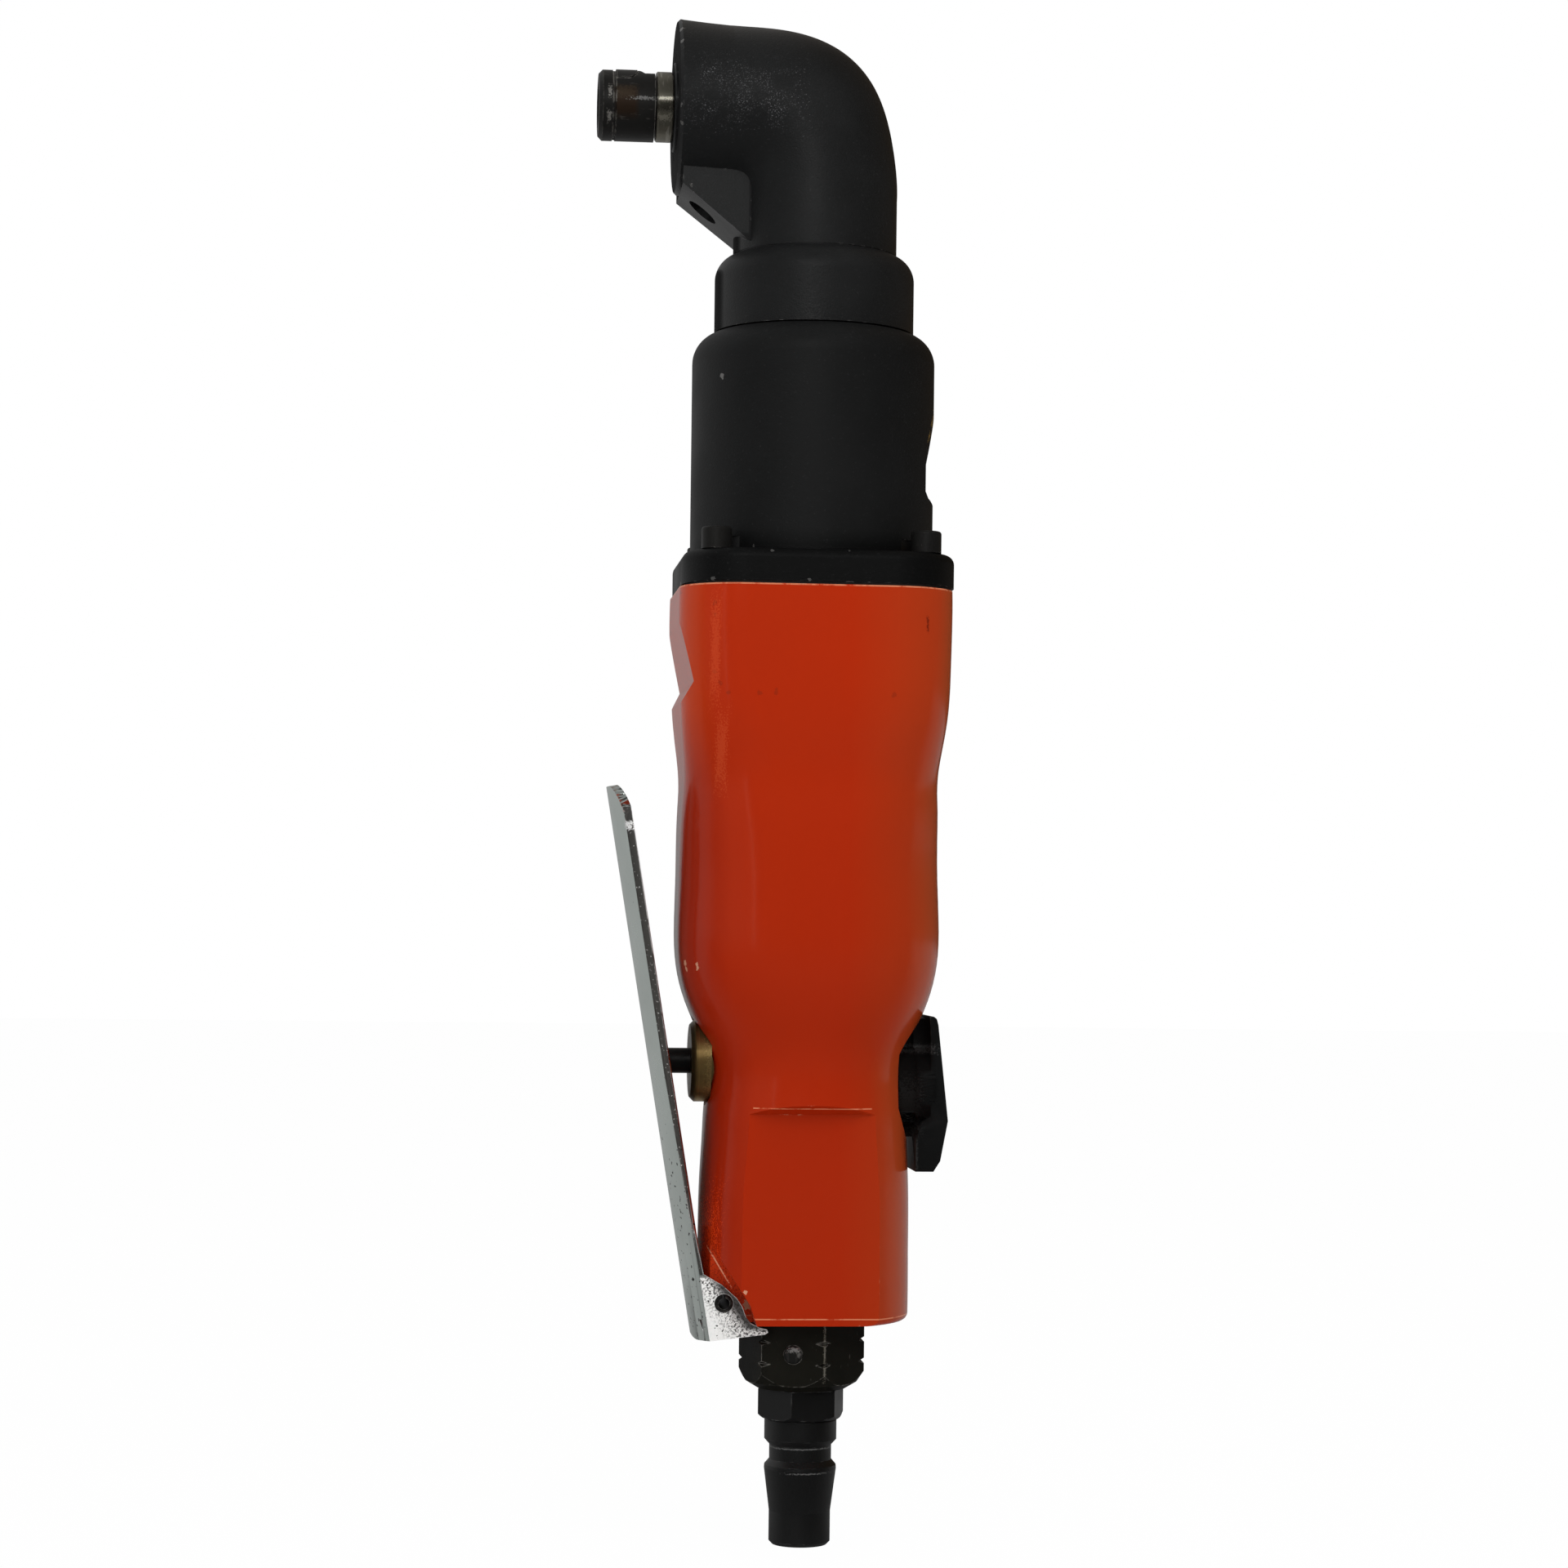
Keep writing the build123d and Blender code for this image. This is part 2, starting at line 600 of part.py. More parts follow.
def make_throttle_lever():
    lean = radians(lever_lean)
    along = Vector(-sin(lean), 0, cos(lean))
    inward = Vector(cos(lean), 0, sin(lean))
    start = Vector(lever_line_x, 0, lever_line_z)
    outer_r = (lever_half ** 2 + lever_dish ** 2) / (2 * lever_dish)
    inner_r = outer_r - lever_sheet
    inner_y = lever_half * inner_r / outer_r
    inner_drop = outer_r - (outer_r - lever_dish) * inner_r / outer_r
    section_plane = Plane(start - along * 9.0, x_dir=(0, 1, 0), z_dir=along)
    section = make_face(Curve() + [
        ThreePointArc((-lever_half, -lever_dish), (0, 0), (lever_half, -lever_dish)),
        Line((lever_half, -lever_dish), (inner_y, -inner_drop)),
        ThreePointArc((inner_y, -inner_drop), (0, -lever_sheet), (-inner_y, -inner_drop)),
        Line((-inner_y, -inner_drop), (-lever_half, -lever_dish)),
    ])
    reach = (lever_top - lever_line_z) / cos(lean)
    blade = extrude(section_plane * section, amount=reach + 9.0)
    # Rounded free end
    low = -40.0
    end_plane = Plane(start + along * ((reach + low) / 2), x_dir=(0, 1, 0), z_dir=inward)
    end_shape = RectangleRounded(2 * lever_half, reach - low, lever_end_r)
    blade = blade & extrude(end_plane * end_shape, amount=12, both=True)
    # Channel with the ears, its lower outer corner rounded
    outline = Plane.XZ * make_face(Polyline(
        (lever_line(-57.0) + 2.6, -57.0), (lever_line(-66.0), -66.0), (lever_line(-74.6), -74.6),
        (lever_line(-74.6) + 0.6, -75.9), (lever_line(-74.6) + 2.0, -76.7), (-7.4, -75.4), (-6.9, -75.0),
        (-7.1, -74.5), (-8.4, -74.2), (-10.0, -73.4), (-10.9, -72.2), (-11.5, -70.5), (-12.5, -69.0),
        (-15.1, -66.7), (-18.4, -64.8), (lever_line(-57.0) + 3.0, -57.0), close=True))
    channel = extrude(outline, amount=lever_half, both=True)
    room = slab([(lever_line(-50.0) + lever_sheet, -50.0), (lever_line(-72.6) + lever_sheet, -72.6),
                 (-18.2, -75.0), (-17.0, -78.0), (0, -78.0), (0, -50.0)], lever_half - lever_sheet)
    lever = blade + (channel - room)
    return lever - cyl_y(-20, 20, pivot_r + run_gap, pivot_x, pivot_z)


def make_lever_pivot_pin():
    pin = cyl_y(-lever_half - 0.5, lever_half + 0.5, pivot_r, pivot_x, pivot_z)
    pin = chamfer(pin.edges().filter_by(GeomType.CIRCLE), 0.3)
    pin = pin - cyl_y(-20, 20, pivot_r - 0.6, pivot_x, pivot_z)
    return pin - block(pivot_x - 0.25, pivot_x + 0.25, -20, 20, pivot_z, pivot_z + 4)


# Reverse valve and its finger knob
def make_reverse_valve():
    body = cyl_x(valve_end + 0.3, knob_seat, valve_r, 0, knob_z) + cyl_x(knob_seat - 1, 21.0, 2.6, 0, knob_z)
    body = body - block(4.0, 12.5, -1.2, 1.2, knob_z - 5, knob_z + 5)
    return body


def make_reverse_bush():
    body = ring_x(valve_end, knob_seat - 0.2, valve_bush_r, valve_r + run_gap, 0, knob_z)
    body = body - cyl_z(knob_z, knob_z + 8, 2.0, 8.0, 0)
    return body


def make_reverse_knob():
    hub = cyl_x(knob_seat + free_gap, 20.0, knob_hub_r, 0, knob_z)
    disc = cyl_x(19.3, 22.6, knob_disc_r, 0, knob_z)
    bar = slab([(21.5, -19.3), (22.2, -19.3), (22.7, -19.7), (23.0, -20.8), (24.9, -37.8), (23.6, -44.9),
                (22.4, -46.8), (19.2, -46.8), (19.2, -39.0), (20.4, -38.0), (21.8, -37.0), (21.8, -27.0)],
               knob_bar_half)
    outline = cyl_x(10, 30, knob_reach, 0, knob_z) + block(10, 30, -10, 10, -50, knob_z)
    rib = block(19.0, 22.0, -3.6, 3.6, knob_z + 7.0, knob_z + 12.2)
    body = hub + disc + rib + (bar & outline)
    groove = Pos(knob_seat + free_gap, 0, knob_z) * Rot(0, 90, 0) * Torus(detent_arm, detent_r + free_gap)
    body = body - groove
    body = body - cyl_x(10, 21.0, 2.6, 0, knob_z)
    return body - knob_screw_way(1.3, 12)


def knob_screw_way(radius, far):
    turn = degrees(atan2(5.4, 5.0))
    shaft = Pos(0, 0, knob_z) * Rot(turn, 0, 0) * cyl_y(-far, -2.6, radius, 18.3, 0)
    return shaft


def make_knob_set_screw():
    return knob_screw_way(1.3, 6.4) - knob_screw_way(0.6, 12.0) + knob_screw_way(1.0, 4.6)


def make_detent_ball():
    return Pos(knob_seat - 0.1, 0, knob_z - detent_arm) * Sphere(detent_r)


def make_detent_spring():
    return coil_x(9.0, knob_seat - 0.1 - detent_r, 0.5, 0.14, 6, 0, knob_z - detent_arm)


# Air inlet
def hex_z(z0, z1, flats, turn):
    prism = extrude(RegularPolygon(flats / 2, 6, major_radius=False), amount=z1 - z0)
    return Pos(0, 0, z0) * Rot(0, 0, turn) * prism


def make_inlet_bush():
    corner_r = inlet_flats / 3 ** 0.5
    body = hex_z(inlet_bottom, housing_bottom, inlet_flats, -inlet_turn)
    body = body & (cyl_z(inlet_bottom + 3.3, housing_bottom, corner_r + 1)
                   + cone_z(inlet_bottom + 1.2, inlet_bottom + 3.3, 10.0, corner_r + 0.1)
                   + cone_z(inlet_bottom, inlet_bottom + 1.2, 8.0, 10.0))
    for z in (-77.0, -80.8):
        nick = revolve(Plane.XZ * make_face(Polyline((corner_r - 0.75, z), (corner_r + 0.5, z + 0.8),
                                                     (corner_r + 0.5, z - 0.8), close=True)), Axis.Z, 360)
        body = body - nick
    body = body + cyl_z(housing_bottom - 0.5, -58.0, inlet_spigot_r)
    body = body - cyl_z(inlet_bottom - 1, -57.0, 5.0)
    body = body - cyl_z(inlet_bottom - 1, -75.0, plug_thread_r)
    return body - inlet_pin(1.65, 0.0)


def inlet_pin(radius, dome):
    pin = cyl_y(-inlet_flats / 2 - dome, -7.1, radius, 0, -79.0)
    if dome > 0:
        pin = fillet(pin.edges().group_by(Axis.Y)[0], 0.6)
    return Rot(0, 0, -inlet_turn) * pin


def make_inlet_lock_pin():
    return inlet_pin(1.65, 0.75)


def make_inlet_seal():
    return ring_z(-58.0, -56.6, inlet_spigot_r - seat_gap, 6.0)


def make_inlet_screen():
    body = cyl_z(-63.0, -61.8, 5.0)
    for i in range(-2, 3):
        for j in range(-2, 3):
            if hypot(i, j) < 2.5:
                body = body - cyl_z(-64, -61, 0.55, 1.6 * i, 1.6 * j)
    return body


def make_air_plug():
    profile = Polyline((plug_bore_r, -76.0), (plug_thread_r, -76.0), (plug_thread_r, -91.2),
                       (6.45, -91.6), (6.45, -95.0), (5.55, -96.0), (5.55, -98.6), (6.4, -99.6),
                       (6.45, -100.2), (5.48, -107.8), (5.48, plug_tip + 0.6), (4.9, plug_tip),
                       (plug_bore_r, plug_tip), close=True)
    body = revolve(Plane.XZ * make_face(profile), Axis.Z, 360)
    corner_r = plug_flats / 3 ** 0.5
    head = hex_z(-91.2, inlet_bottom - 0.1, plug_flats, plug_turn)
    round_end = cone_z(-91.2, -90.4, plug_flats / 2 + 0.1, corner_r)
    head = head & (cyl_z(-90.4, inlet_bottom, corner_r + 1) + round_end)
    return body + (head - cyl_z(-100, -70, plug_bore_r + 0.5))


save("motor_housing", make_motor_housing())
save("hammer_case", make_hammer_case())
save("flange_gasket", make_flange_gasket())
save("flange_screws", make_flange_screws())
save("head_lock_collar", make_head_lock_collar())
save("angle_head_housing", make_angle_head_housing())
save("bevel_pinion", make_bevel_pinion())
save("bevel_gear", make_bevel_gear())
save("output_spindle", make_output_spindle())
save("bit_detent_key", make_bit_detent_key())
save("bit_retaining_ring", make_bit_retaining_ring())
save("spindle_journal_ring", make_spindle_journal_ring())
save("head_front_cap", make_head_front_cap())
save("spindle_front_bearing", bearing_x(face_x + cap_depth + 0.1, -18.0, front_bore_r, journal_r + run_gap))
save("spindle_rear_bush", ring_x(-17.4, -12.4, front_bore_r, journal_r + run_gap, 0, drive_z))
save("pinion_bearing", bearing_z(pinion_bearing_low, pinion_bearing_top, neck_bore_r, bearing_shaft_r))
save("anvil_bush", ring_z(case_roof, case_top + 2.0, anvil_bush_r, anvil_r + run_gap))
save("anvil_shaft", make_anvil_shaft())
save("hammer_cage", make_hammer_cage())
save("hammer_dog", make_hammer_dog())
save("hammer_pin", cyl_z(cage_low + 2, cage_top - 1, pin_r, pin_arm))
save("rotor", make_rotor())
save("rotor_vanes", make_rotor_vanes())
save("motor_cylinder", make_motor_cylinder())
save("front_end_plate", make_front_end_plate())
save("rear_end_plate", make_rear_end_plate())
save("rotor_front_bearing", bearing_z(front_plate_low + 1.0, 50.2, 9.0, 4.5 + run_gap))
save("rotor_rear_bearing", bearing_z(5.0, rear_plate_top - 0.8, 8.0, 3.5 + run_gap))
save("motor_dowel", cyl_z(rear_plate_top - 3.9, rear_plate_top + 3.9, dowel_r, 0, -dowel_arm))
save("throttle_bush", make_throttle_bush())
save("throttle_stem", make_throttle_stem())
save("throttle_seal", make_throttle_seal())
save("throttle_spring", make_throttle_spring())
save("throttle_lever", make_throttle_lever())
save("lever_pivot_pin", make_lever_pivot_pin())
save("reverse_valve", make_reverse_valve())
save("reverse_bush", make_reverse_bush())
save("reverse_knob", make_reverse_knob())
save("knob_set_screw", make_knob_set_screw())
save("detent_ball", make_detent_ball())
save("detent_spring", make_detent_spring())
save("inlet_bush", make_inlet_bush())
save("inlet_lock_pin", make_inlet_lock_pin())
save("inlet_seal", make_inlet_seal())
save("inlet_screen", make_inlet_screen())
save("air_plug", make_air_plug())
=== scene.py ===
import bpy
import json
from math import cos, radians, sin
from mathutils import Euler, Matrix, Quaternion, Vector


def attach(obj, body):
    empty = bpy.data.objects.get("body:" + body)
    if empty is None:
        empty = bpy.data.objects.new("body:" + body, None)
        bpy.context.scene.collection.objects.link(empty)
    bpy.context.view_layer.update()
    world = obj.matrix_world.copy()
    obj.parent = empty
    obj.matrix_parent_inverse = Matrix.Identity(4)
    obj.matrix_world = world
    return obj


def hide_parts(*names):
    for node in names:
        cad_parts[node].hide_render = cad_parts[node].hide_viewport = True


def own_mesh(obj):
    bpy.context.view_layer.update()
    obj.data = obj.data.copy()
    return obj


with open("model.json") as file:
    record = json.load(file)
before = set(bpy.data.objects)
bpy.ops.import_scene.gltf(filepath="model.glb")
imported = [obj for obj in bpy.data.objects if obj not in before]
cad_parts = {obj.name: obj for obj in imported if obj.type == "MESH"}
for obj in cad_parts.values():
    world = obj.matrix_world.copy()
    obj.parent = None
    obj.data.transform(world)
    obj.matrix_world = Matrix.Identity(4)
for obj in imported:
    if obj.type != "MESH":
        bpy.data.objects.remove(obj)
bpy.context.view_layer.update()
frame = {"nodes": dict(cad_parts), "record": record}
nodes = frame["nodes"]
scene = bpy.context.scene
print("frame loaded", len(nodes), "nodes")

# shader nodes stand in rows, in the order they are made
nodeGrid = {"columns": 10, "wide": 220, "high": 280, "end": 2400}


def addNode(tree, kind, **settings):
    row, column = divmod(len(tree.nodes), nodeGrid["columns"])
    node = tree.nodes.new(kind)
    node.location = (column * nodeGrid["wide"], -row * nodeGrid["high"])
    for key, value in settings.items():
        setattr(node, key, value)
    return node


def setIn(node, **values):
    for key, value in values.items():
        node.inputs[key.replace("_", " ")].default_value = value
    return node


# a number is set on the socket, anything else is linked to it
def feed(tree, socket, value):
    if isinstance(value, (int, float)):
        socket.default_value = value
    else:
        tree.links.new(value, socket)


def mathNode(tree, kind, *values):
    node = addNode(tree, "ShaderNodeMath", operation=kind)
    for socket, value in zip(node.inputs, values):
        feed(tree, socket, value)
    return node.outputs[0]


def times(tree, first, second):
    return mathNode(tree, "MULTIPLY", first, second)


def rangeNode(tree, value, low, high, outLow=0.0, outHigh=1.0):
    node = addNode(tree, "ShaderNodeMapRange", clamp=True)
    tree.links.new(value, node.inputs["Value"])
    ends = {"From Min": low, "From Max": high, "To Min": outLow, "To Max": outHigh}
    for key, number in ends.items():
        feed(tree, node.inputs[key], number)
    return node.outputs["Result"]


# a soft step up at a place, or down where the half width is negative
def stepAt(tree, value, at, half, most=1.0):
    return rangeNode(tree, value, at - half, at + half, 0.0, most)


def mixColour(tree, mask, first, second):
    node = addNode(tree, "ShaderNodeMix", data_type="RGBA")
    tree.links.new(mask, node.inputs["Factor"])
    for socket, value in ((node.inputs["A"], first), (node.inputs["B"], second)):
        if hasattr(value, "is_linked"):
            tree.links.new(value, socket)
        else:
            socket.default_value = (*value, 1.0)
    return node.outputs["Result"]


def noiseNode(tree, vector, scale, detail=3.0, rough=0.55):
    node = setIn(addNode(tree, "ShaderNodeTexNoise"), Detail=detail, Roughness=rough)
    tree.links.new(vector, node.inputs["Vector"])
    feed(tree, node.inputs["Scale"], scale)
    return node.outputs["Fac"]


# a mask that rises between two levels of a noise
def noiseMask(tree, vector, scale, band, detail, rough):
    return rangeNode(tree, noiseNode(tree, vector, scale, detail, rough), *band)


def vectorNode(tree, kind, *vectors):
    node = addNode(tree, "ShaderNodeVectorMath", operation=kind)
    for socket, vector in zip(node.inputs, vectors):
        tree.links.new(vector, socket)
    return node.outputs


def splitAxes(tree, vector):
    node = addNode(tree, "ShaderNodeSeparateXYZ")
    tree.links.new(vector, node.inputs[0])
    return node.outputs


def joinMasks(tree, masks):
    total = masks[0]
    for mask in masks[1:]:
        total = mathNode(tree, "MAXIMUM", total, mask)
    return total


# every group takes a place and its own values, and puts out masks
def startGroup(name, values, outputs):
    tree = bpy.data.node_groups.new(name, "ShaderNodeTree")
    tree.interface.new_socket(name="Vector", in_out="INPUT", socket_type="NodeSocketVector")
    for label, value in values.items():
        kind = "NodeSocketVector" if isinstance(value, tuple) else "NodeSocketFloat"
        tree.interface.new_socket(name=label, in_out="INPUT", socket_type=kind).default_value = value
    for label in outputs:
        tree.interface.new_socket(name=label, in_out="OUTPUT", socket_type="NodeSocketFloat")
    return tree, addNode(tree, "NodeGroupInput").outputs, addNode(tree, "NodeGroupOutput").inputs


# grain of a cast or sprayed skin
grainLook = {"fine": 0.65, "pits": 0.35, "pitBand": (0.0, 0.5), "cloudScale": 45.0, "cloudBand": (0.35, 0.65)}


def makeCastGrain(look):
    tree, given, out = startGroup("castGrain", {"Scale": 1400.0}, ["Height", "Tone"])
    fine = noiseNode(tree, given["Vector"], given["Scale"], detail=4.0, rough=0.6)
    pits = addNode(tree, "ShaderNodeTexVoronoi")
    tree.links.new(given["Vector"], pits.inputs["Vector"])
    tree.links.new(given["Scale"], pits.inputs["Scale"])
    hollow = times(tree, rangeNode(tree, pits.outputs["Distance"], *look["pitBand"]), look["pits"])
    tree.links.new(mathNode(tree, "MULTIPLY_ADD", fine, look["fine"], hollow), out["Height"])
    broad = noiseNode(tree, given["Vector"], look["cloudScale"])
    tree.links.new(rangeNode(tree, broad, *look["cloudBand"]), out["Tone"])
    return tree


# bare metal where edges have been rubbed: how far the rounded normal leans from the flat one
wearLook = {"flat": 0.97, "sharp": 0.80, "soft": 0.08, "samples": 6}


def makeEdgeWear(look):
    tree, given, out = startGroup("edgeWear", {"Radius": 0.0006, "Breakup": 400.0, "Threshold": 0.5}, ["Mask"])
    rounded = addNode(tree, "ShaderNodeBevel", samples=look["samples"])
    tree.links.new(given["Radius"], rounded.inputs["Radius"])
    flat = addNode(tree, "ShaderNodeNewGeometry")
    lean = vectorNode(tree, "DOT_PRODUCT", rounded.outputs["Normal"], flat.outputs["Normal"])
    edge = rangeNode(tree, lean["Value"], look["flat"], look["sharp"])
    patch = noiseNode(tree, given["Vector"], given["Breakup"], detail=5.0, rough=0.65)
    higher = mathNode(tree, "ADD", given["Threshold"], look["soft"])
    worn = rangeNode(tree, patch, given["Threshold"], higher)
    tree.links.new(times(tree, edge, worn), out["Mask"])
    return tree


# thin scratches drawn out along one direction
scratchLook = {"soft": 0.06}


def makeScratchLines(look):
    values = {"Along": (1.0, 1.0, 0.04), "Scale": 900.0, "Threshold": 0.62}
    tree, given, out = startGroup("scratchLines", values, ["Mask"])
    drawn = vectorNode(tree, "MULTIPLY", given["Vector"], given["Along"])
    lines = noiseNode(tree, drawn["Vector"], given["Scale"], detail=2.0, rough=0.5)
    higher = mathNode(tree, "ADD", given["Threshold"], look["soft"])
    tree.links.new(rangeNode(tree, lines, given["Threshold"], higher), out["Mask"])
    return tree


# one knock in the paint at a given place
chipLook = {"raggedScale": 1800.0, "raggedBand": (0.3, 0.7), "least": 0.3, "most": 1.5}


def makeChipSpot(look):
    tree, given, out = startGroup("chipSpot", {"Centre": (0.0, 0.0, 0.0), "Size": 0.0008}, ["Mask"])
    away = vectorNode(tree, "DISTANCE", given["Vector"], given["Centre"])
    ragged = noiseNode(tree, given["Vector"], look["raggedScale"])
    share = rangeNode(tree, ragged, *look["raggedBand"], look["least"], look["most"])
    reach = times(tree, given["Size"], share)
    tree.links.new(mathNode(tree, "LESS_THAN", away["Value"], reach), out["Mask"])
    return tree


# one ragged bar at a given place
barLook = {"raggedScale": 3600.0, "raggedBand": (0.25, 0.75), "ragged": 0.9, "outer": 1.05, "inner": 0.55}


def makeBarMark(look):
    values = {"Centre": (0.0, 0.0, 0.0), "Half": (0.001, 0.001, 0.001)}
    tree, given, out = startGroup("barMark", values, ["Mask"])
    away = vectorNode(tree, "SUBTRACT", given["Vector"], given["Centre"])
    share = vectorNode(tree, "DIVIDE", away["Vector"], given["Half"])
    parts = splitAxes(tree, vectorNode(tree, "ABSOLUTE", share["Vector"])["Vector"])
    most = joinMasks(tree, [parts["X"], parts["Y"], parts["Z"]])
    noise = noiseNode(tree, given["Vector"], look["raggedScale"])
    ragged = rangeNode(tree, noise, *look["raggedBand"], -look["ragged"], look["ragged"])
    reach = mathNode(tree, "ADD", most, ragged)
    tree.links.new(rangeNode(tree, reach, look["outer"], look["inner"]), out["Mask"])
    return tree


# cloudy handling marks that change the gloss, and fine specks
smudgeLook = {"speckScale": 2600.0, "speckBand": (0.66, 0.72), "cloudBand": (0.3, 0.7)}


def makeHandSmudge(look):
    tree, given, out = startGroup("handSmudge", {"Scale": 60.0}, ["Cloud", "Speck"])
    cloud = noiseNode(tree, given["Vector"], given["Scale"], detail=5.0, rough=0.6)
    speck = noiseNode(tree, given["Vector"], look["speckScale"], detail=2.0, rough=0.5)
    tree.links.new(rangeNode(tree, cloud, *look["cloudBand"]), out["Cloud"])
    tree.links.new(rangeNode(tree, speck, *look["speckBand"]), out["Speck"])
    return tree


castGrain = makeCastGrain(grainLook)
edgeWear = makeEdgeWear(wearLook)
scratchLines = makeScratchLines(scratchLook)
chipSpot = makeChipSpot(chipLook)
barMark = makeBarMark(barLook)
handSmudge = makeHandSmudge(smudgeLook)
print("shader groups made")


def startFinish(spec, metallic=0.0, specular=0.5):
    material = bpy.data.materials.new(spec["name"])
    material.use_nodes = True
    tree = material.node_tree
    shader = tree.nodes["Principled BSDF"]
    shader.location = (nodeGrid["end"], 0)
    tree.nodes["Material Output"].location = (nodeGrid["end"] + 2 * nodeGrid["wide"], 0)
    setIn(shader, Metallic=metallic, Roughness=spec["roughness"], Specular_IOR_Level=specular)
    place = addNode(tree, "ShaderNodeTexCoord").outputs["Object"]
    return material, tree, shader, place


def useGroup(tree, group, place, **values):
    node = addNode(tree, "ShaderNodeGroup", node_tree=group)
    tree.links.new(place, node.inputs["Vector"])
    return setIn(node, **values).outputs


# the way the surface looks, in the piece's own axes
def facing(tree, place):
    return splitAxes(tree, place.node.outputs["Normal"])


def bumpInto(tree, shader, height, strength, distance):
    bump = setIn(addNode(tree, "ShaderNodeBump"), Strength=strength, Distance=distance)
    tree.links.new(height, bump.inputs["Height"])
    tree.links.new(bump.outputs["Normal"], shader.inputs["Normal"])


# a mark: centre, half size, colour and strength
def addMarks(tree, place, colour, marks):
    for centre, half, tone, mix in marks:
        bar = useGroup(tree, barMark, place, Centre=centre, Half=half)
        colour = mixColour(tree, times(tree, bar["Mask"], mix), colour, tone)
    return colour


# spots: x, y, z and size
def spotMasks(tree, place, spots):
    return [useGroup(tree, chipSpot, place, Centre=(x, y, z), Size=size)["Mask"] for x, y, z, size in spots]


def wearMask(tree, place, spec):
    return useGroup(tree, edgeWear, place, Radius=spec["wearRadius"], Breakup=spec["wearBreak"],
                    Threshold=spec["wearLevel"])["Mask"]


# roughness that goes from a little less to a little more than the finish's own
def roughRange(tree, mask, spec):
    less, more = spec["roughSpan"]
    return rangeNode(tree, mask, 0.0, 1.0, spec["roughness"] - less, spec["roughness"] + more)


orangePaint = {
    "name": "orangePaint", "roughness": 0.19, "roughSpan": (0.02, 0.03), "specular": 0.30,
    "tint": (1.0, 0.75, 0.50), "coat": 0.06, "coatRoughness": 0.09,
    "peelScale": 420.0, "peelBump": 0.35, "peelDepth": 0.00002,
    "base": (0.430, 0.0235, 0.0030), "deep": (0.405, 0.0215, 0.0028),
    "mottleScale": 42.0, "mottleBand": (0.2, 0.8),
    # painted shade: deeper lower down, where less light falls
    "low": (0.375, 0.0195, 0.0026), "lowFrom": 0.045, "lowTo": 0.0,
    # painted reflection: a paler brownish sheen on the side away from the lever
    "paintedSheen": (0.335, 0.056, 0.0135), "sheenMix": 0.82, "sheenTurn": (0.45, 0.90),
    "sheenFrom": 0.005, "sheenTo": 0.021, "sheenAhead": 0.45,
    # the lever side: a paler painted reflection above, and painted shade below
    "paleSheen": (0.47, 0.040, 0.004), "paleSheenMix": 0.85, "shaded": (0.26, 0.011, 0.0016), "shadedMix": 0.65,
    "leverTurn": (-0.55, -0.90), "turnAt": 0.026, "turnHalf": 0.008,
    # dark rubbed spots
    "scuff": (0.19, 0.019, 0.006), "scuffMix": 0.45,
    "scuffs": [(-0.0188, -0.0225, 0.0520, 0.0005), (-0.0187, -0.0225, 0.0501, 0.0004),
               (-0.0186, -0.0221, 0.0402, 0.0004), (-0.0177, -0.0225, 0.0383, 0.0004),
               (-0.0109, -0.0237, 0.0367, 0.0005), (-0.0081, -0.0237, 0.0368, 0.0005),
               (-0.0163, -0.0229, 0.0365, 0.0004), (0.0123, -0.0237, 0.0366, 0.0004),
               (-0.0242, -0.0146, 0.0543, 0.0005)],
    # pale chips and worn edges
    "worn": (0.58, 0.27, 0.17), "wornRough": 0.2, "wearRadius": 0.0005, "wearBreak": 260.0, "wearLevel": 0.60,
    "chips": [(-0.0223, -0.0096, -0.0102, 0.0006), (-0.0221, -0.0096, -0.0112, 0.0005),
              (-0.0204, -0.0136, -0.0108, 0.0006), (-0.0109, -0.0098, -0.0692, 0.0007),
              (-0.0105, -0.0082, -0.0704, 0.0008), (-0.0115, -0.0147, -0.0675, 0.0004)],
    # painted light on the lever's pocket floor, a dark scratch, and painted highlight streaks on the corner
    "marks": [((-0.0120, -0.0060, -0.0660), (0.0090, 0.0040, 0.0130), (0.72, 0.050, 0.008), 0.85),
              ((0.0182, -0.0224, 0.0492), (0.00026, 0.0020, 0.0013), (0.12, 0.010, 0.003), 0.80),
              ((-0.0186, -0.0215, 0.0440), (0.0008, 0.0040, 0.0085), (0.56, 0.062, 0.016), 0.45),
              ((-0.0172, -0.0215, 0.0265), (0.0010, 0.0060, 0.0060), (0.56, 0.075, 0.022), 0.40)],
    # a painted highlight line across the pocket, where its edge would catch the light
    "lineHighlight": (0.95, 0.40, 0.24), "lineSlope": (0.854, 0.519), "lineAt": -0.0463, "lineHalf": 0.00012,
    "lineCentre": (-0.0156, -0.0082, -0.0635), "lineReach": (0.0030, 0.0012, 0.0034),
    # pale broken lines: height, half width, and how far forward they lie
    "rim": (0.62, 0.19, 0.095), "rimScale": 420.0, "rimBand": (0.36, 0.50),
    "rims": [(0.0554, 0.00016, 0.03), (-0.0353, 0.00011, -0.0150), (-0.0722, 0.00011, 0.03)],
}


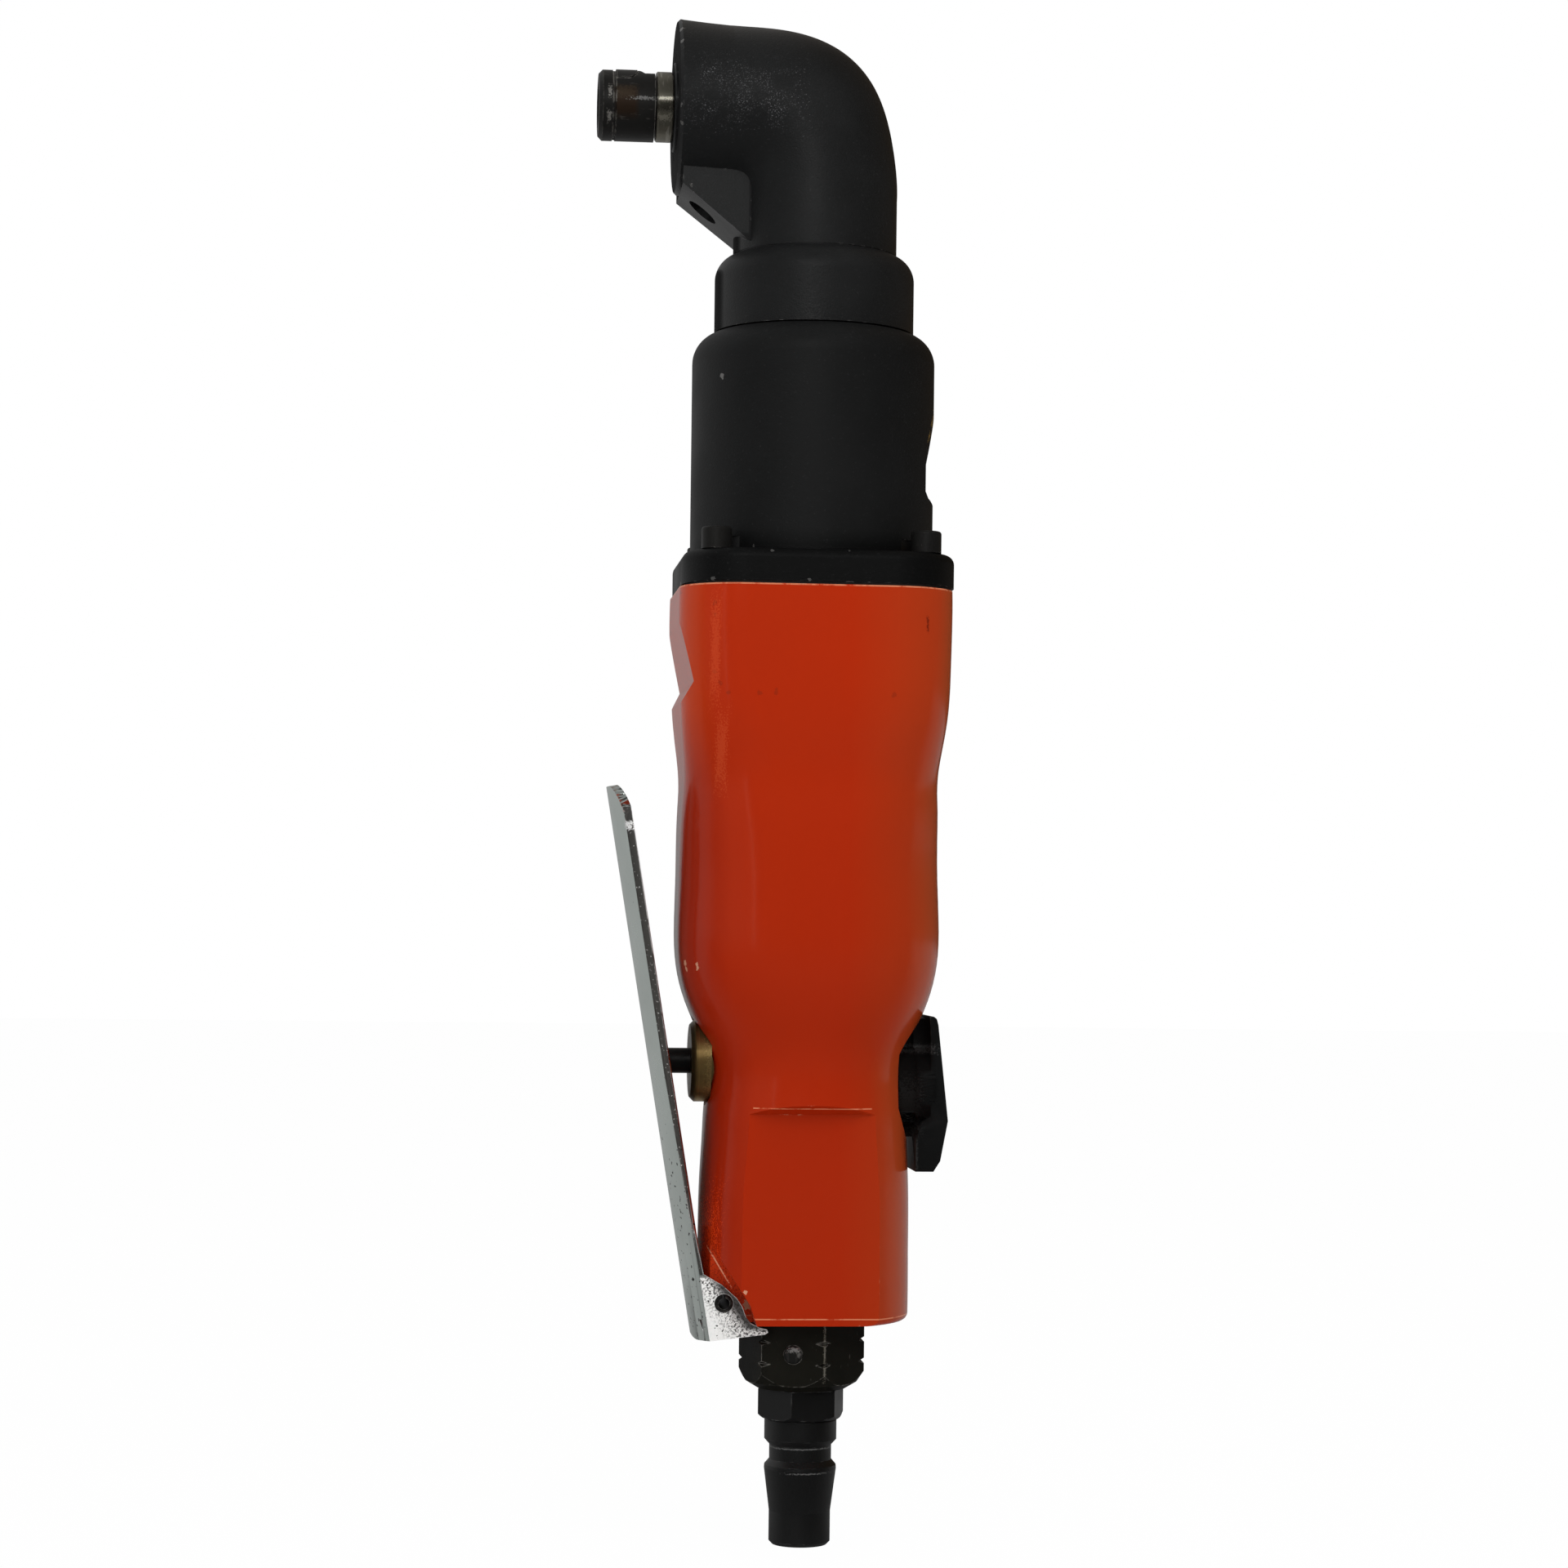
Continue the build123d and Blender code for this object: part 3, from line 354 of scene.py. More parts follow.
def shadePaint(tree, place, parts, colour, spec):
    # painted shade: deeper lower down
    lower = rangeNode(tree, parts["Z"], spec["lowFrom"], spec["lowTo"])
    colour = mixColour(tree, lower, colour, spec["low"])
    slope = facing(tree, place)
    # painted reflection on the side away from the lever, by facing and by place
    away = rangeNode(tree, slope["X"], *spec["sheenTurn"], 0.0, spec["sheenMix"])
    nearer = rangeNode(tree, parts["X"], spec["sheenFrom"], spec["sheenTo"], 0.0, spec["sheenAhead"])
    colour = mixColour(tree, mathNode(tree, "MAXIMUM", away, nearer), colour, spec["paintedSheen"])
    # painted reflection above and painted shade below, on the side facing the lever
    toLever = rangeNode(tree, slope["X"], *spec["leverTurn"])
    above = times(tree, toLever, stepAt(tree, parts["Z"], spec["turnAt"], spec["turnHalf"]))
    below = mathNode(tree, "SUBTRACT", toLever, above)
    colour = mixColour(tree, times(tree, above, spec["paleSheenMix"]), colour, spec["paleSheen"])
    return mixColour(tree, times(tree, below, spec["shadedMix"]), colour, spec["shaded"])


def paintLines(tree, place, parts, colour, spec):
    # a painted highlight line across the pocket
    alongX, alongZ = spec["lineSlope"]
    tilt = mathNode(tree, "MULTIPLY_ADD", parts["X"], alongX, times(tree, parts["Z"], alongZ))
    line = mathNode(tree, "COMPARE", tilt, spec["lineAt"], spec["lineHalf"])
    within = useGroup(tree, barMark, place, Centre=spec["lineCentre"], Half=spec["lineReach"])
    colour = mixColour(tree, times(tree, line, within["Mask"]), colour, spec["lineHighlight"])
    broken = noiseMask(tree, place, spec["rimScale"], spec["rimBand"], detail=4.0, rough=0.6)
    rims = []
    for height, half, forward in spec["rims"]:
        ring = mathNode(tree, "COMPARE", parts["Z"], height, half)
        near = mathNode(tree, "LESS_THAN", parts["Y"], forward)
        rims.append(times(tree, times(tree, ring, near), broken))
    return mixColour(tree, joinMasks(tree, rims), colour, spec["rim"])


def makeOrangePaint(spec):
    material, tree, shader, place = startFinish(spec, 0.0, spec["specular"])
    setIn(shader, Coat_Weight=spec["coat"], Coat_Roughness=spec["coatRoughness"],
          Specular_Tint=(*spec["tint"], 1.0))
    mottle = noiseMask(tree, place, spec["mottleScale"], spec["mottleBand"], detail=1.0, rough=0.4)
    colour = mixColour(tree, mottle, spec["base"], spec["deep"])
    parts = splitAxes(tree, place)
    colour = shadePaint(tree, place, parts, colour, spec)
    # dark rubbed spots lie under the pale chips
    rubbed = times(tree, joinMasks(tree, spotMasks(tree, place, spec["scuffs"])), spec["scuffMix"])
    colour = mixColour(tree, rubbed, colour, spec["scuff"])
    # painted light in the pocket and painted highlight streaks on the corner, with a dark scratch
    colour = addMarks(tree, place, colour, spec["marks"])
    colour = paintLines(tree, place, parts, colour, spec)
    bare = joinMasks(tree, [wearMask(tree, place, spec)] + spotMasks(tree, place, spec["chips"]))
    tree.links.new(mixColour(tree, bare, colour, spec["worn"]), shader.inputs["Base Color"])
    cloudy = roughRange(tree, mottle, spec)
    tree.links.new(mathNode(tree, "MULTIPLY_ADD", bare, spec["wornRough"], cloudy), shader.inputs["Roughness"])
    peel = noiseNode(tree, place, spec["peelScale"], detail=2.0)
    bumpInto(tree, shader, peel, spec["peelBump"], spec["peelDepth"])
    return material


blackCast = {
    "name": "blackCast", "roughness": 0.40, "roughSpan": (0.05, 0.08), "specular": 0.30,
    "grainScale": 2400.0, "grainBump": 0.8, "grainDepth": 0.00006,
    "base": (0.0078, 0.0081, 0.0082), "lift": (0.0098, 0.0102, 0.0104),
    "speck": (0.085, 0.086, 0.088), "speckMix": 0.10, "dustScale": 55.0,
    "worn": (0.20, 0.195, 0.19), "wornMetal": 0.8, "wornRough": -0.22,
    "wearRadius": 0.0004, "wearBreak": 520.0, "wearLevel": 0.57,
    "chips": [(-0.0250, -0.0096, 0.1535, 0.0005), (-0.0250, -0.0121, 0.1509, 0.0004),
              (-0.0252, -0.0147, 0.1392, 0.0004), (-0.0249, -0.0140, 0.1362, 0.0004),
              (-0.0228, -0.0092, 0.1263, 0.0003)],
    # greyer flat sides of the gusset, painted glints where grains would catch the light, and the front face
    # painted blacker as shade
    "elbow": {"panel": (0.0165, 0.0170, 0.0170), "flatTurn": (0.90, 0.95), "back": -0.0125, "low": 0.1185,
              "high": 0.1335, "soft": -0.0005,
              "sparkle": (0.105, 0.105, 0.110), "sparkleAt": (-0.0140, -0.0147, 0.1416),
              "sparkleHalf": (0.0095, 0.0080, 0.0055), "sparkleScale": 5000.0, "sparkleBand": (0.58, 0.66),
              "patchScale": 260.0, "patchBand": (0.40, 0.60),
              "face": (0.0028, 0.0029, 0.0030), "faceTurn": (-0.90, -0.97), "faceRough": 0.9},
    "barrel": None,
}
hammerBlack = dict(
    blackCast, name="hammerBlack", roughness=0.50, specular=0.25, grainScale=2600.0, grainDepth=0.00005,
    base=(0.0062, 0.0065, 0.0066), lift=(0.0078, 0.0081, 0.0082),
    chips=[(-0.0173, -0.0130, 0.0925, 0.0006), (-0.0191, -0.0219, 0.0562, 0.0004),
           (-0.0091, -0.0235, 0.0611, 0.0003), (-0.0119, -0.0181, 0.0624, 0.0003),
           (0.0043, -0.0232, 0.0614, 0.0002), (-0.0026, -0.0239, 0.0562, 0.0003),
           (-0.0239, -0.0100, 0.0563, 0.0003)],
    elbow=None,
    # the flange painted darker as shade, and the rubbed upper rim of the scoop: near its sloping floor and near
    # the barrel's skin
    barrel={"flange": (0.0030, 0.0032, 0.0032), "flangeTop": 0.0640, "flangeSoft": -0.0015,
            "brass": (0.42, 0.27, 0.075), "radius": 0.02165, "rimDepth": 0.0006, "rimHalf": 0.0007,
            "rimLow": 0.0822, "rimScale": 950.0, "rimBand": (0.50, 0.58),
            "scoopSlope": -0.2414, "scoopAt": 0.00032})


# the colour, and a mask of the front face
def shadeElbow(tree, place, parts, colour, elbow):
    slope = facing(tree, place)
    flat = rangeNode(tree, mathNode(tree, "ABSOLUTE", slope["Y"]), *elbow["flatTurn"])
    ahead = mathNode(tree, "LESS_THAN", parts["X"], elbow["back"])
    lower = stepAt(tree, parts["Z"], elbow["high"], elbow["soft"])
    upper = mathNode(tree, "GREATER_THAN", parts["Z"], elbow["low"])
    patch = times(tree, times(tree, flat, ahead), times(tree, lower, upper))
    colour = mixColour(tree, patch, colour, elbow["panel"])
    # painted glints: bright grains around the elbow's highlight
    lit = useGroup(tree, barMark, place, Centre=elbow["sparkleAt"], Half=elbow["sparkleHalf"])
    bright = noiseMask(tree, place, elbow["sparkleScale"], elbow["sparkleBand"], detail=2.0, rough=0.5)
    soft = noiseMask(tree, place, elbow["patchScale"], elbow["patchBand"], detail=2.0, rough=0.5)
    spark = times(tree, times(tree, lit["Mask"], bright), soft)
    colour = mixColour(tree, spark, colour, elbow["sparkle"])
    # painted shade: the front face is blacker
    faced = rangeNode(tree, slope["X"], *elbow["faceTurn"])
    return mixColour(tree, faced, colour, elbow["face"]), faced


def scoopRim(tree, place, parts, barrel):
    slant = mathNode(tree, "MULTIPLY_ADD", parts["Z"], barrel["scoopSlope"], parts["X"])
    near = mathNode(tree, "COMPARE", slant, barrel["scoopAt"], barrel["rimHalf"])
    across = times(tree, parts["Y"], parts["Y"])
    outward = mathNode(tree, "MULTIPLY_ADD", parts["X"], parts["X"], across)
    skin = mathNode(tree, "GREATER_THAN", outward, (barrel["radius"] - barrel["rimDepth"]) ** 2)
    side = times(tree, mathNode(tree, "GREATER_THAN", parts["X"], 0.0),
                 mathNode(tree, "GREATER_THAN", parts["Z"], barrel["rimLow"]))
    ragged = noiseMask(tree, place, barrel["rimScale"], barrel["rimBand"], detail=4.0, rough=0.65)
    return times(tree, times(tree, near, skin), times(tree, side, ragged))


def makeBlackCast(spec):
    elbow, barrel = spec["elbow"], spec["barrel"]
    material, tree, shader, place = startFinish(spec, 0.0, spec["specular"])
    grain = useGroup(tree, castGrain, place, Scale=spec["grainScale"])
    colour = mixColour(tree, grain["Tone"], spec["base"], spec["lift"])
    rough = roughRange(tree, grain["Tone"], spec)
    parts = splitAxes(tree, place)
    if elbow:
        colour, faced = shadeElbow(tree, place, parts, colour, elbow)
        rough = mathNode(tree, "MAXIMUM", rough, times(tree, faced, elbow["faceRough"]))
    if barrel:
        # painted shade: darker below the flange's top
        down = stepAt(tree, parts["Z"], barrel["flangeTop"], barrel["flangeSoft"])
        colour = mixColour(tree, down, colour, barrel["flange"])
    dust = useGroup(tree, handSmudge, place, Scale=spec["dustScale"])
    colour = mixColour(tree, times(tree, dust["Speck"], spec["speckMix"]), colour, spec["speck"])
    shine = joinMasks(tree, [wearMask(tree, place, spec)] + spotMasks(tree, place, spec["chips"]))
    colour = mixColour(tree, shine, colour, spec["worn"])
    if barrel:
        rim = scoopRim(tree, place, parts, barrel)
        colour = mixColour(tree, rim, colour, barrel["brass"])
        shine = mathNode(tree, "MAXIMUM", shine, rim)
    tree.links.new(colour, shader.inputs["Base Color"])
    tree.links.new(times(tree, shine, spec["wornMetal"]), shader.inputs["Metallic"])
    tree.links.new(mathNode(tree, "MULTIPLY_ADD", shine, spec["wornRough"], rough), shader.inputs["Roughness"])
    bumpInto(tree, shader, grain["Height"], spec["grainBump"], spec["grainDepth"])
    return material


# bare and blackened metals share one recipe
blackOxide = {
    "name": "blackOxide", "metallic": 0.5, "roughness": 0.42, "roughSpan": (0.07, 0.09), "specular": 0.3,
    "smudgeScale": 90.0,
    "base": (0.013, 0.0128, 0.0122), "second": (0.020, 0.0192, 0.0180), "worn": (0.22, 0.21, 0.19),
    "wearRadius": 0.00035, "wearBreak": 620.0, "wearLevel": 0.52,
    "along": (1.0, 1.0, 0.25), "scratchScale": 2200.0, "scratchLevel": 0.70, "scratchMix": 0.16,
    "scratchRough": 0.08, "scratchBump": 0.35, "scratchDepth": 0.000006, "marks": [], "heat": None,
}
spindleOxide = dict(
    blackOxide, name="spindleOxide", along=(0.25, 1.0, 1.0), scratchLevel=0.67, wearLevel=0.43,
    # brownish band on the drive nose
    heat={"tone": (0.030, 0.0155, 0.0075), "front": (-0.0364, -0.0358), "back": (-0.0318, -0.0328),
          "low": 0.1390, "high": 0.1440, "soft": 0.0008, "least": 0.35},
    # an olive-brown patch, a painted highlight line along the neck behind the pad, and two pale chips on the
    # tip collar
    marks=[((-0.0345, -0.0062, 0.1431), (0.0020, 0.0025, 0.0012), (0.050, 0.036, 0.022), 0.6),
           ((-0.0310, -0.0062, 0.14206), (0.0023, 0.0030, 0.00030), (0.20, 0.20, 0.195), 0.8),
           ((-0.0371, -0.0061, 0.1431), (0.00032, 0.0020, 0.0010), (0.26, 0.25, 0.23), 0.7),
           ((-0.0372, -0.0055, 0.1389), (0.00036, 0.0020, 0.0009), (0.26, 0.25, 0.23), 0.7)])
hexOxide = dict(
    blackOxide, name="hexOxide", metallic=0.0, specular=0.03, wearLevel=0.42,
    base=(0.0066, 0.0063, 0.0046), second=(0.0110, 0.0104, 0.0080),
    # a pale worn line on one edge, and painted shade darkening the facets to the left
    marks=[((0.00306, -0.0109, -0.0785), (0.00024, 0.0008, 0.0056), (0.13, 0.12, 0.095), 0.55),
           ((-0.0112, -0.0040, -0.0790), (0.0030, 0.0090, 0.0120), (0.0026, 0.0025, 0.0020), 0.85)])
plugOxide = dict(
    blackOxide, name="plugOxide", metallic=0.0, roughness=0.46, specular=0.80, wearLevel=0.50,
    base=(0.0034, 0.0036, 0.0036), second=(0.0042, 0.0044, 0.0044), worn=(0.10, 0.10, 0.098),
    scratchLevel=0.78, scratchMix=0.05,
    marks=[((0.0000, -0.0060, -0.09634), (0.0066, 0.0062, 0.00014), (0.12, 0.12, 0.118), 0.7),
           ((0.0009, -0.0060, -0.10055), (0.0034, 0.0034, 0.00014), (0.12, 0.12, 0.118), 0.7)])
bareSteel = dict(
    blackOxide, name="bareSteel", metallic=1.0, roughness=0.30, specular=0.5,
    base=(0.34, 0.32, 0.26), second=(0.26, 0.245, 0.20), worn=(0.55, 0.53, 0.46),
    wearRadius=0.0002, wearBreak=500.0, wearLevel=0.5,
    along=(0.9, 0.12, 0.12), scratchScale=1500.0, scratchLevel=0.56, scratchMix=0.4)
ringSteel = dict(
    bareSteel, name="ringSteel", metallic=0.7, base=(0.20, 0.188, 0.150), second=(0.14, 0.130, 0.102),
    # painted reflections: a bright line, a dark band below it and a paler band lower down
    marks=[((-0.0273, -0.0060, 0.14215), (0.0020, 0.0030, 0.00035), (0.85, 0.81, 0.68), 0.9),
           ((-0.0273, -0.0058, 0.14090), (0.0020, 0.0030, 0.00090), (0.045, 0.040, 0.030), 0.8),
           ((-0.0276, -0.0054, 0.13900), (0.0013, 0.0030, 0.00060), (0.45, 0.42, 0.34), 0.7)])
pinSteel = dict(
    bareSteel, name="pinSteel", metallic=0.4, roughness=0.40, specular=0.3, wearLevel=0.62, scratchMix=0.15,
    base=(0.022, 0.0215, 0.020), second=(0.012, 0.0118, 0.011), worn=(0.10, 0.097, 0.09),
    # painted glints on the pin's dome
    marks=[((-0.0022, -0.0103, -0.0781), (0.0011, 0.0015, 0.00045), (0.30, 0.29, 0.28), 0.75),
           ((-0.0014, -0.0103, -0.0788), (0.0005, 0.0015, 0.0006), (0.20, 0.195, 0.18), 0.6)])
bronze = dict(
    bareSteel, name="bronze", roughness=0.38,
    base=(0.38, 0.235, 0.10), second=(0.30, 0.18, 0.075), worn=(0.5, 0.34, 0.17))
greyIron = dict(
    bareSteel, name="greyIron", metallic=0.85, roughness=0.48,
    base=(0.21, 0.21, 0.205), second=(0.16, 0.16, 0.158), worn=(0.34, 0.34, 0.33))


def heatBand(tree, place, cloud, heat):
    parts = splitAxes(tree, place)
    front = rangeNode(tree, parts["X"], *heat["front"])
    back = rangeNode(tree, parts["X"], *heat["back"])
    foot = stepAt(tree, parts["Z"], heat["low"], heat["soft"])
    head = stepAt(tree, parts["Z"], heat["high"], -heat["soft"])
    band = times(tree, times(tree, front, back), times(tree, foot, head))
    return times(tree, band, rangeNode(tree, cloud, 0.0, 1.0, heat["least"], 1.0))


def makeMetal(spec):
    material, tree, shader, place = startFinish(spec, spec["metallic"], spec["specular"])
    cloud = useGroup(tree, handSmudge, place, Scale=spec["smudgeScale"])["Cloud"]
    colour = mixColour(tree, cloud, spec["base"], spec["second"])
    if spec["heat"]:
        colour = mixColour(tree, heatBand(tree, place, cloud, spec["heat"]), colour, spec["heat"]["tone"])
    colour = addMarks(tree, place, colour, spec["marks"])
    scratch = useGroup(tree, scratchLines, place, Along=spec["along"], Scale=spec["scratchScale"],
                       Threshold=spec["scratchLevel"])["Mask"]
    fine = times(tree, scratch, spec["scratchMix"])
    shine = mathNode(tree, "MAXIMUM", wearMask(tree, place, spec), fine)
    tree.links.new(mixColour(tree, shine, colour, spec["worn"]), shader.inputs["Base Color"])
    rough = roughRange(tree, cloud, spec)
    total = mathNode(tree, "MULTIPLY_ADD", scratch, spec["scratchRough"], rough)
    tree.links.new(total, shader.inputs["Roughness"])
    bumpInto(tree, shader, scratch, spec["scratchBump"], spec["scratchDepth"])
    return material


brassTurned = {
    "name": "brassTurned", "metallic": 0.85, "roughness": 0.34, "roughSpan": (0.08, 0.16), "smudgeScale": 160.0,
    "base": (0.44, 0.29, 0.105), "tarnish": (0.20, 0.130, 0.050),
    # painted shade: the front of the bush is darkened
    "grimeAndShade": (0.030, 0.024, 0.014), "shadeTo": -0.0199, "shadeSoft": -0.0004, "shadeMix": 0.85,
    # rings left by the lathe, about the bush's own axis
    "axisZ": -0.0277, "ringScale": 2600.0, "ringBand": (0.3, 0.7), "ringLeast": 0.3, "ringBump": 0.5,
    "ringDepth": 0.000012,
    # a painted highlight band across the middle of the bush
    "marks": [((-0.0166, -0.0070, -0.0292), (0.0016, 0.0090, 0.0050), (0.66, 0.47, 0.19), 0.6)],
}


def makeBrassTurned(spec):
    material, tree, shader, place = startFinish(spec, spec["metallic"])
    shift = setIn(addNode(tree, "ShaderNodeMapping"), Location=(0.0, 0.0, -spec["axisZ"]))
    tree.links.new(place, shift.inputs["Vector"])
    parts = splitAxes(tree, shift.outputs["Vector"])
    across = times(tree, parts["Y"], parts["Y"])
    upward = times(tree, parts["Z"], parts["Z"])
    radius = mathNode(tree, "SQRT", mathNode(tree, "ADD", across, upward))
    turned = addNode(tree, "ShaderNodeCombineXYZ")
    tree.links.new(radius, turned.inputs["X"])
    tree.links.new(parts["X"], turned.inputs["Y"])
    rings = noiseNode(tree, turned.outputs["Vector"], spec["ringScale"], detail=2.0)
    cloud = useGroup(tree, handSmudge, place, Scale=spec["smudgeScale"])["Cloud"]
    grimeAndShade = times(tree, cloud, rangeNode(tree, rings, *spec["ringBand"], spec["ringLeast"], 1.0))
    colour = mixColour(tree, grimeAndShade, spec["base"], spec["tarnish"])
    colour = addMarks(tree, place, colour, spec["marks"])
    # painted shade on the front of the bush
    ahead = stepAt(tree, parts["X"], spec["shadeTo"], spec["shadeSoft"], spec["shadeMix"])
    tree.links.new(mixColour(tree, ahead, colour, spec["grimeAndShade"]), shader.inputs["Base Color"])
    tree.links.new(roughRange(tree, grimeAndShade, spec), shader.inputs["Roughness"])
    bumpInto(tree, shader, rings, spec["ringBump"], spec["ringDepth"])
    return material


# plastic, rubber, paper and resin share one recipe
knobPlastic = {
    "name": "knobPlastic", "roughness": 0.55, "roughSpan": (0.07, 0.07), "specular": 0.10,
    "base": (0.0046, 0.0048, 0.0048), "second": (0.0072, 0.0074, 0.0074), "worn": (0.06, 0.06, 0.058),
    "grainScale": 1900.0, "grainBump": 0.5, "grainDepth": 0.00002,
    "wearRadius": 0.0003, "wearBreak": 480.0, "wearLevel": 0.58,
    # painted light on the knob: a lighter painted reflection on the hub, a painted highlight along its ridge,
    # and a paler painted strip lower down
    "marks": [((0.0178, -0.0070, -0.0350), (0.0023, 0.0036, 0.0048), (0.017, 0.0175, 0.017), 0.8),
              ((0.0192, -0.0060, -0.0251), (0.0034, 0.0050, 0.0008), (0.055, 0.055, 0.054), 0.7),
              ((0.0192, -0.0040, -0.0430), (0.0004, 0.0060, 0.0040), (0.030, 0.030, 0.029), 0.8)],
}
sealRubber = dict(
    knobPlastic, name="sealRubber", roughness=0.68, specular=0.3, grainScale=2400.0, wearLevel=0.6, marks=[],
    base=(0.012, 0.012, 0.012), second=(0.022, 0.022, 0.022), worn=(0.05, 0.05, 0.05))
gasketPaper = dict(
    knobPlastic, name="gasketPaper", roughness=0.85, specular=0.2, grainScale=900.0, grainDepth=0.00004,
    wearLevel=0.6, marks=[],
    base=(0.028, 0.027, 0.026), second=(0.048, 0.046, 0.043), worn=(0.09, 0.085, 0.08))
vaneResin = dict(
    knobPlastic, name="vaneResin", roughness=0.58, specular=0.4, grainScale=700.0, grainDepth=0.00003,
    wearLevel=0.52, marks=[],
    base=(0.21, 0.125, 0.055), second=(0.15, 0.085, 0.036), worn=(0.3, 0.2, 0.11))


def makeMoulded(spec):
    material, tree, shader, place = startFinish(spec, 0.0, spec["specular"])
    grain = useGroup(tree, castGrain, place, Scale=spec["grainScale"])
    colour = mixColour(tree, grain["Tone"], spec["base"], spec["second"])
    colour = addMarks(tree, place, colour, spec["marks"])
    colour = mixColour(tree, wearMask(tree, place, spec), colour, spec["worn"])
    tree.links.new(colour, shader.inputs["Base Color"])
    tree.links.new(roughRange(tree, grain["Tone"], spec), shader.inputs["Roughness"])
    bumpInto(tree, shader, grain["Height"], spec["grainBump"], spec["grainDepth"])
    return material


# pressed and plated lever: smooth blade, dark cut edge, peened ears painted white, standing in for their bright
# reflection
leverPlate = {
    "name": "leverPlate", "roughness": 0.28, "roughSpan": (0.05, 0.08),
    "flankRough": 0.16, "flankTurn": (0.72, 0.80),
    "blade": (0.80, 0.87, 0.825), "cloud": (0.73, 0.79, 0.75), "smudgeScale": 70.0,
    "edge": (0.062, 0.060, 0.055), "edgeDull": 0.7, "dullMetal": 0.05,
    # painted reflection: the ears are near white and hardly metallic, standing in for their bright mirror
    "ear": (0.95, 0.95, 0.93), "earTop": -0.0652, "earSoft": -0.0004, "earSide": 0.0094,
    # painted shade: the ear darkens towards its upper rear
    "shade": (0.05, 0.05, 0.048), "duskMix": 0.95, "duskSlope": 0.70, "duskFrom": -0.0641, "duskTo": -0.0622,
    "duskLow": -0.0746, "duskSoft": 0.0004,
    # peened pits, real dents painted dark as facets that miss the light, crowd together towards the rear of the
    # ear, and a few lie low on the blade
    "pit": (0.030, 0.029, 0.027), "peenScale": 2400.0, "peenBand": (0.50, 0.55), "peenBump": 0.5,
    "peenDepth": 0.00008, "bladePeen": 0.06,
    "crowdFrom": -0.0682, "crowdTo": -0.0648, "crowdLeast": 0.06, "crowdMost": 0.95,
    "rareScale": 1100.0, "rareSoft": 0.02, "rareLow": (-0.054, 0.655), "rareHigh": (-0.030, 0.735),
    # painted highlights: bright lines where the press has folded or sheared the plate
    "wearRadius": 0.00035, "wearBreak": 500.0, "wearLevel": 0.40, "glintMix": 0.8,
    # a painted glint at the tip's corner
    "marks": [((-0.0324, -0.0100, 0.0138), (0.0012, 0.0006, 0.0007), (0.95, 0.95, 0.94), 1.0)],
}


def makeLeverPlate(spec):
    material, tree, shader, place = startFinish(spec, 1.0)
    parts = splitAxes(tree, place)
    slope = facing(tree, place)
    # flanks look sideways: cut edges above, ears below
    turned = rangeNode(tree, mathNode(tree, "ABSOLUTE", slope["Y"]), *spec["flankTurn"])
    outer = mathNode(tree, "GREATER_THAN", mathNode(tree, "ABSOLUTE", parts["Y"]), spec["earSide"])
    flank = times(tree, turned, outer)
    ear = times(tree, flank, stepAt(tree, parts["Z"], spec["earTop"], spec["earSoft"]))
    edge = mathNode(tree, "SUBTRACT", flank, ear)
    rise = mathNode(tree, "MULTIPLY_ADD", parts["Z"], spec["duskSlope"], parts["X"])
    toward = rangeNode(tree, rise, spec["duskFrom"], spec["duskTo"], 0.0, spec["duskMix"])
    lifted = stepAt(tree, parts["Z"], spec["duskLow"], spec["duskSoft"])
    dusk = times(tree, ear, times(tree, toward, lifted))
    smudge = useGroup(tree, handSmudge, place, Scale=spec["smudgeScale"])
    colour = mixColour(tree, smudge["Cloud"], spec["blade"], spec["cloud"])
    # painted reflection on the ears, and painted shade towards their upper rear
    colour = mixColour(tree, ear, colour, spec["ear"])
    colour = mixColour(tree, dusk, colour, spec["shade"])
    colour = mixColour(tree, edge, colour, spec["edge"])
    peen = noiseNode(tree, place, spec["peenScale"], detail=4.0, rough=0.7)
    crowd = rangeNode(tree, rise, spec["crowdFrom"], spec["crowdTo"], spec["crowdLeast"], spec["crowdMost"])
    grains = times(tree, rangeNode(tree, peen, *spec["peenBand"]), times(tree, ear, crowd))
    (lowZ, lowLevel), (highZ, highLevel) = spec["rareLow"], spec["rareHigh"]
    scarce = rangeNode(tree, parts["Z"], lowZ, highZ, lowLevel, highLevel)
    spots = noiseNode(tree, place, spec["rareScale"], detail=2.0, rough=0.5)
    rare = rangeNode(tree, spots, scarce, mathNode(tree, "ADD", scarce, spec["rareSoft"]))
    colour = mixColour(tree, mathNode(tree, "MAXIMUM", grains, rare), colour, spec["pit"])
    sheared = times(tree, edge, smudge["Speck"])
    glint = mathNode(tree, "MAXIMUM", wearMask(tree, place, spec), sheared)
    colour = mixColour(tree, times(tree, glint, spec["glintMix"]), colour, spec["ear"])
    colour = addMarks(tree, place, colour, spec["marks"])
    tree.links.new(colour, shader.inputs["Base Color"])
    plain = mathNode(tree, "MAXIMUM", times(tree, edge, spec["edgeDull"]), ear)
    tree.links.new(rangeNode(tree, plain, 0.0, 1.0, 1.0, spec["dullMetal"]), shader.inputs["Metallic"])
    gloss = roughRange(tree, smudge["Cloud"], spec)
    tree.links.new(mathNode(tree, "MULTIPLY_ADD", flank, spec["flankRough"], gloss), shader.inputs["Roughness"])
    hammered = times(tree, peen, rangeNode(tree, ear, 0.0, 1.0, spec["bladePeen"], 1.0))
    bumpInto(tree, shader, hammered, spec["peenBump"], spec["peenDepth"])
    return material


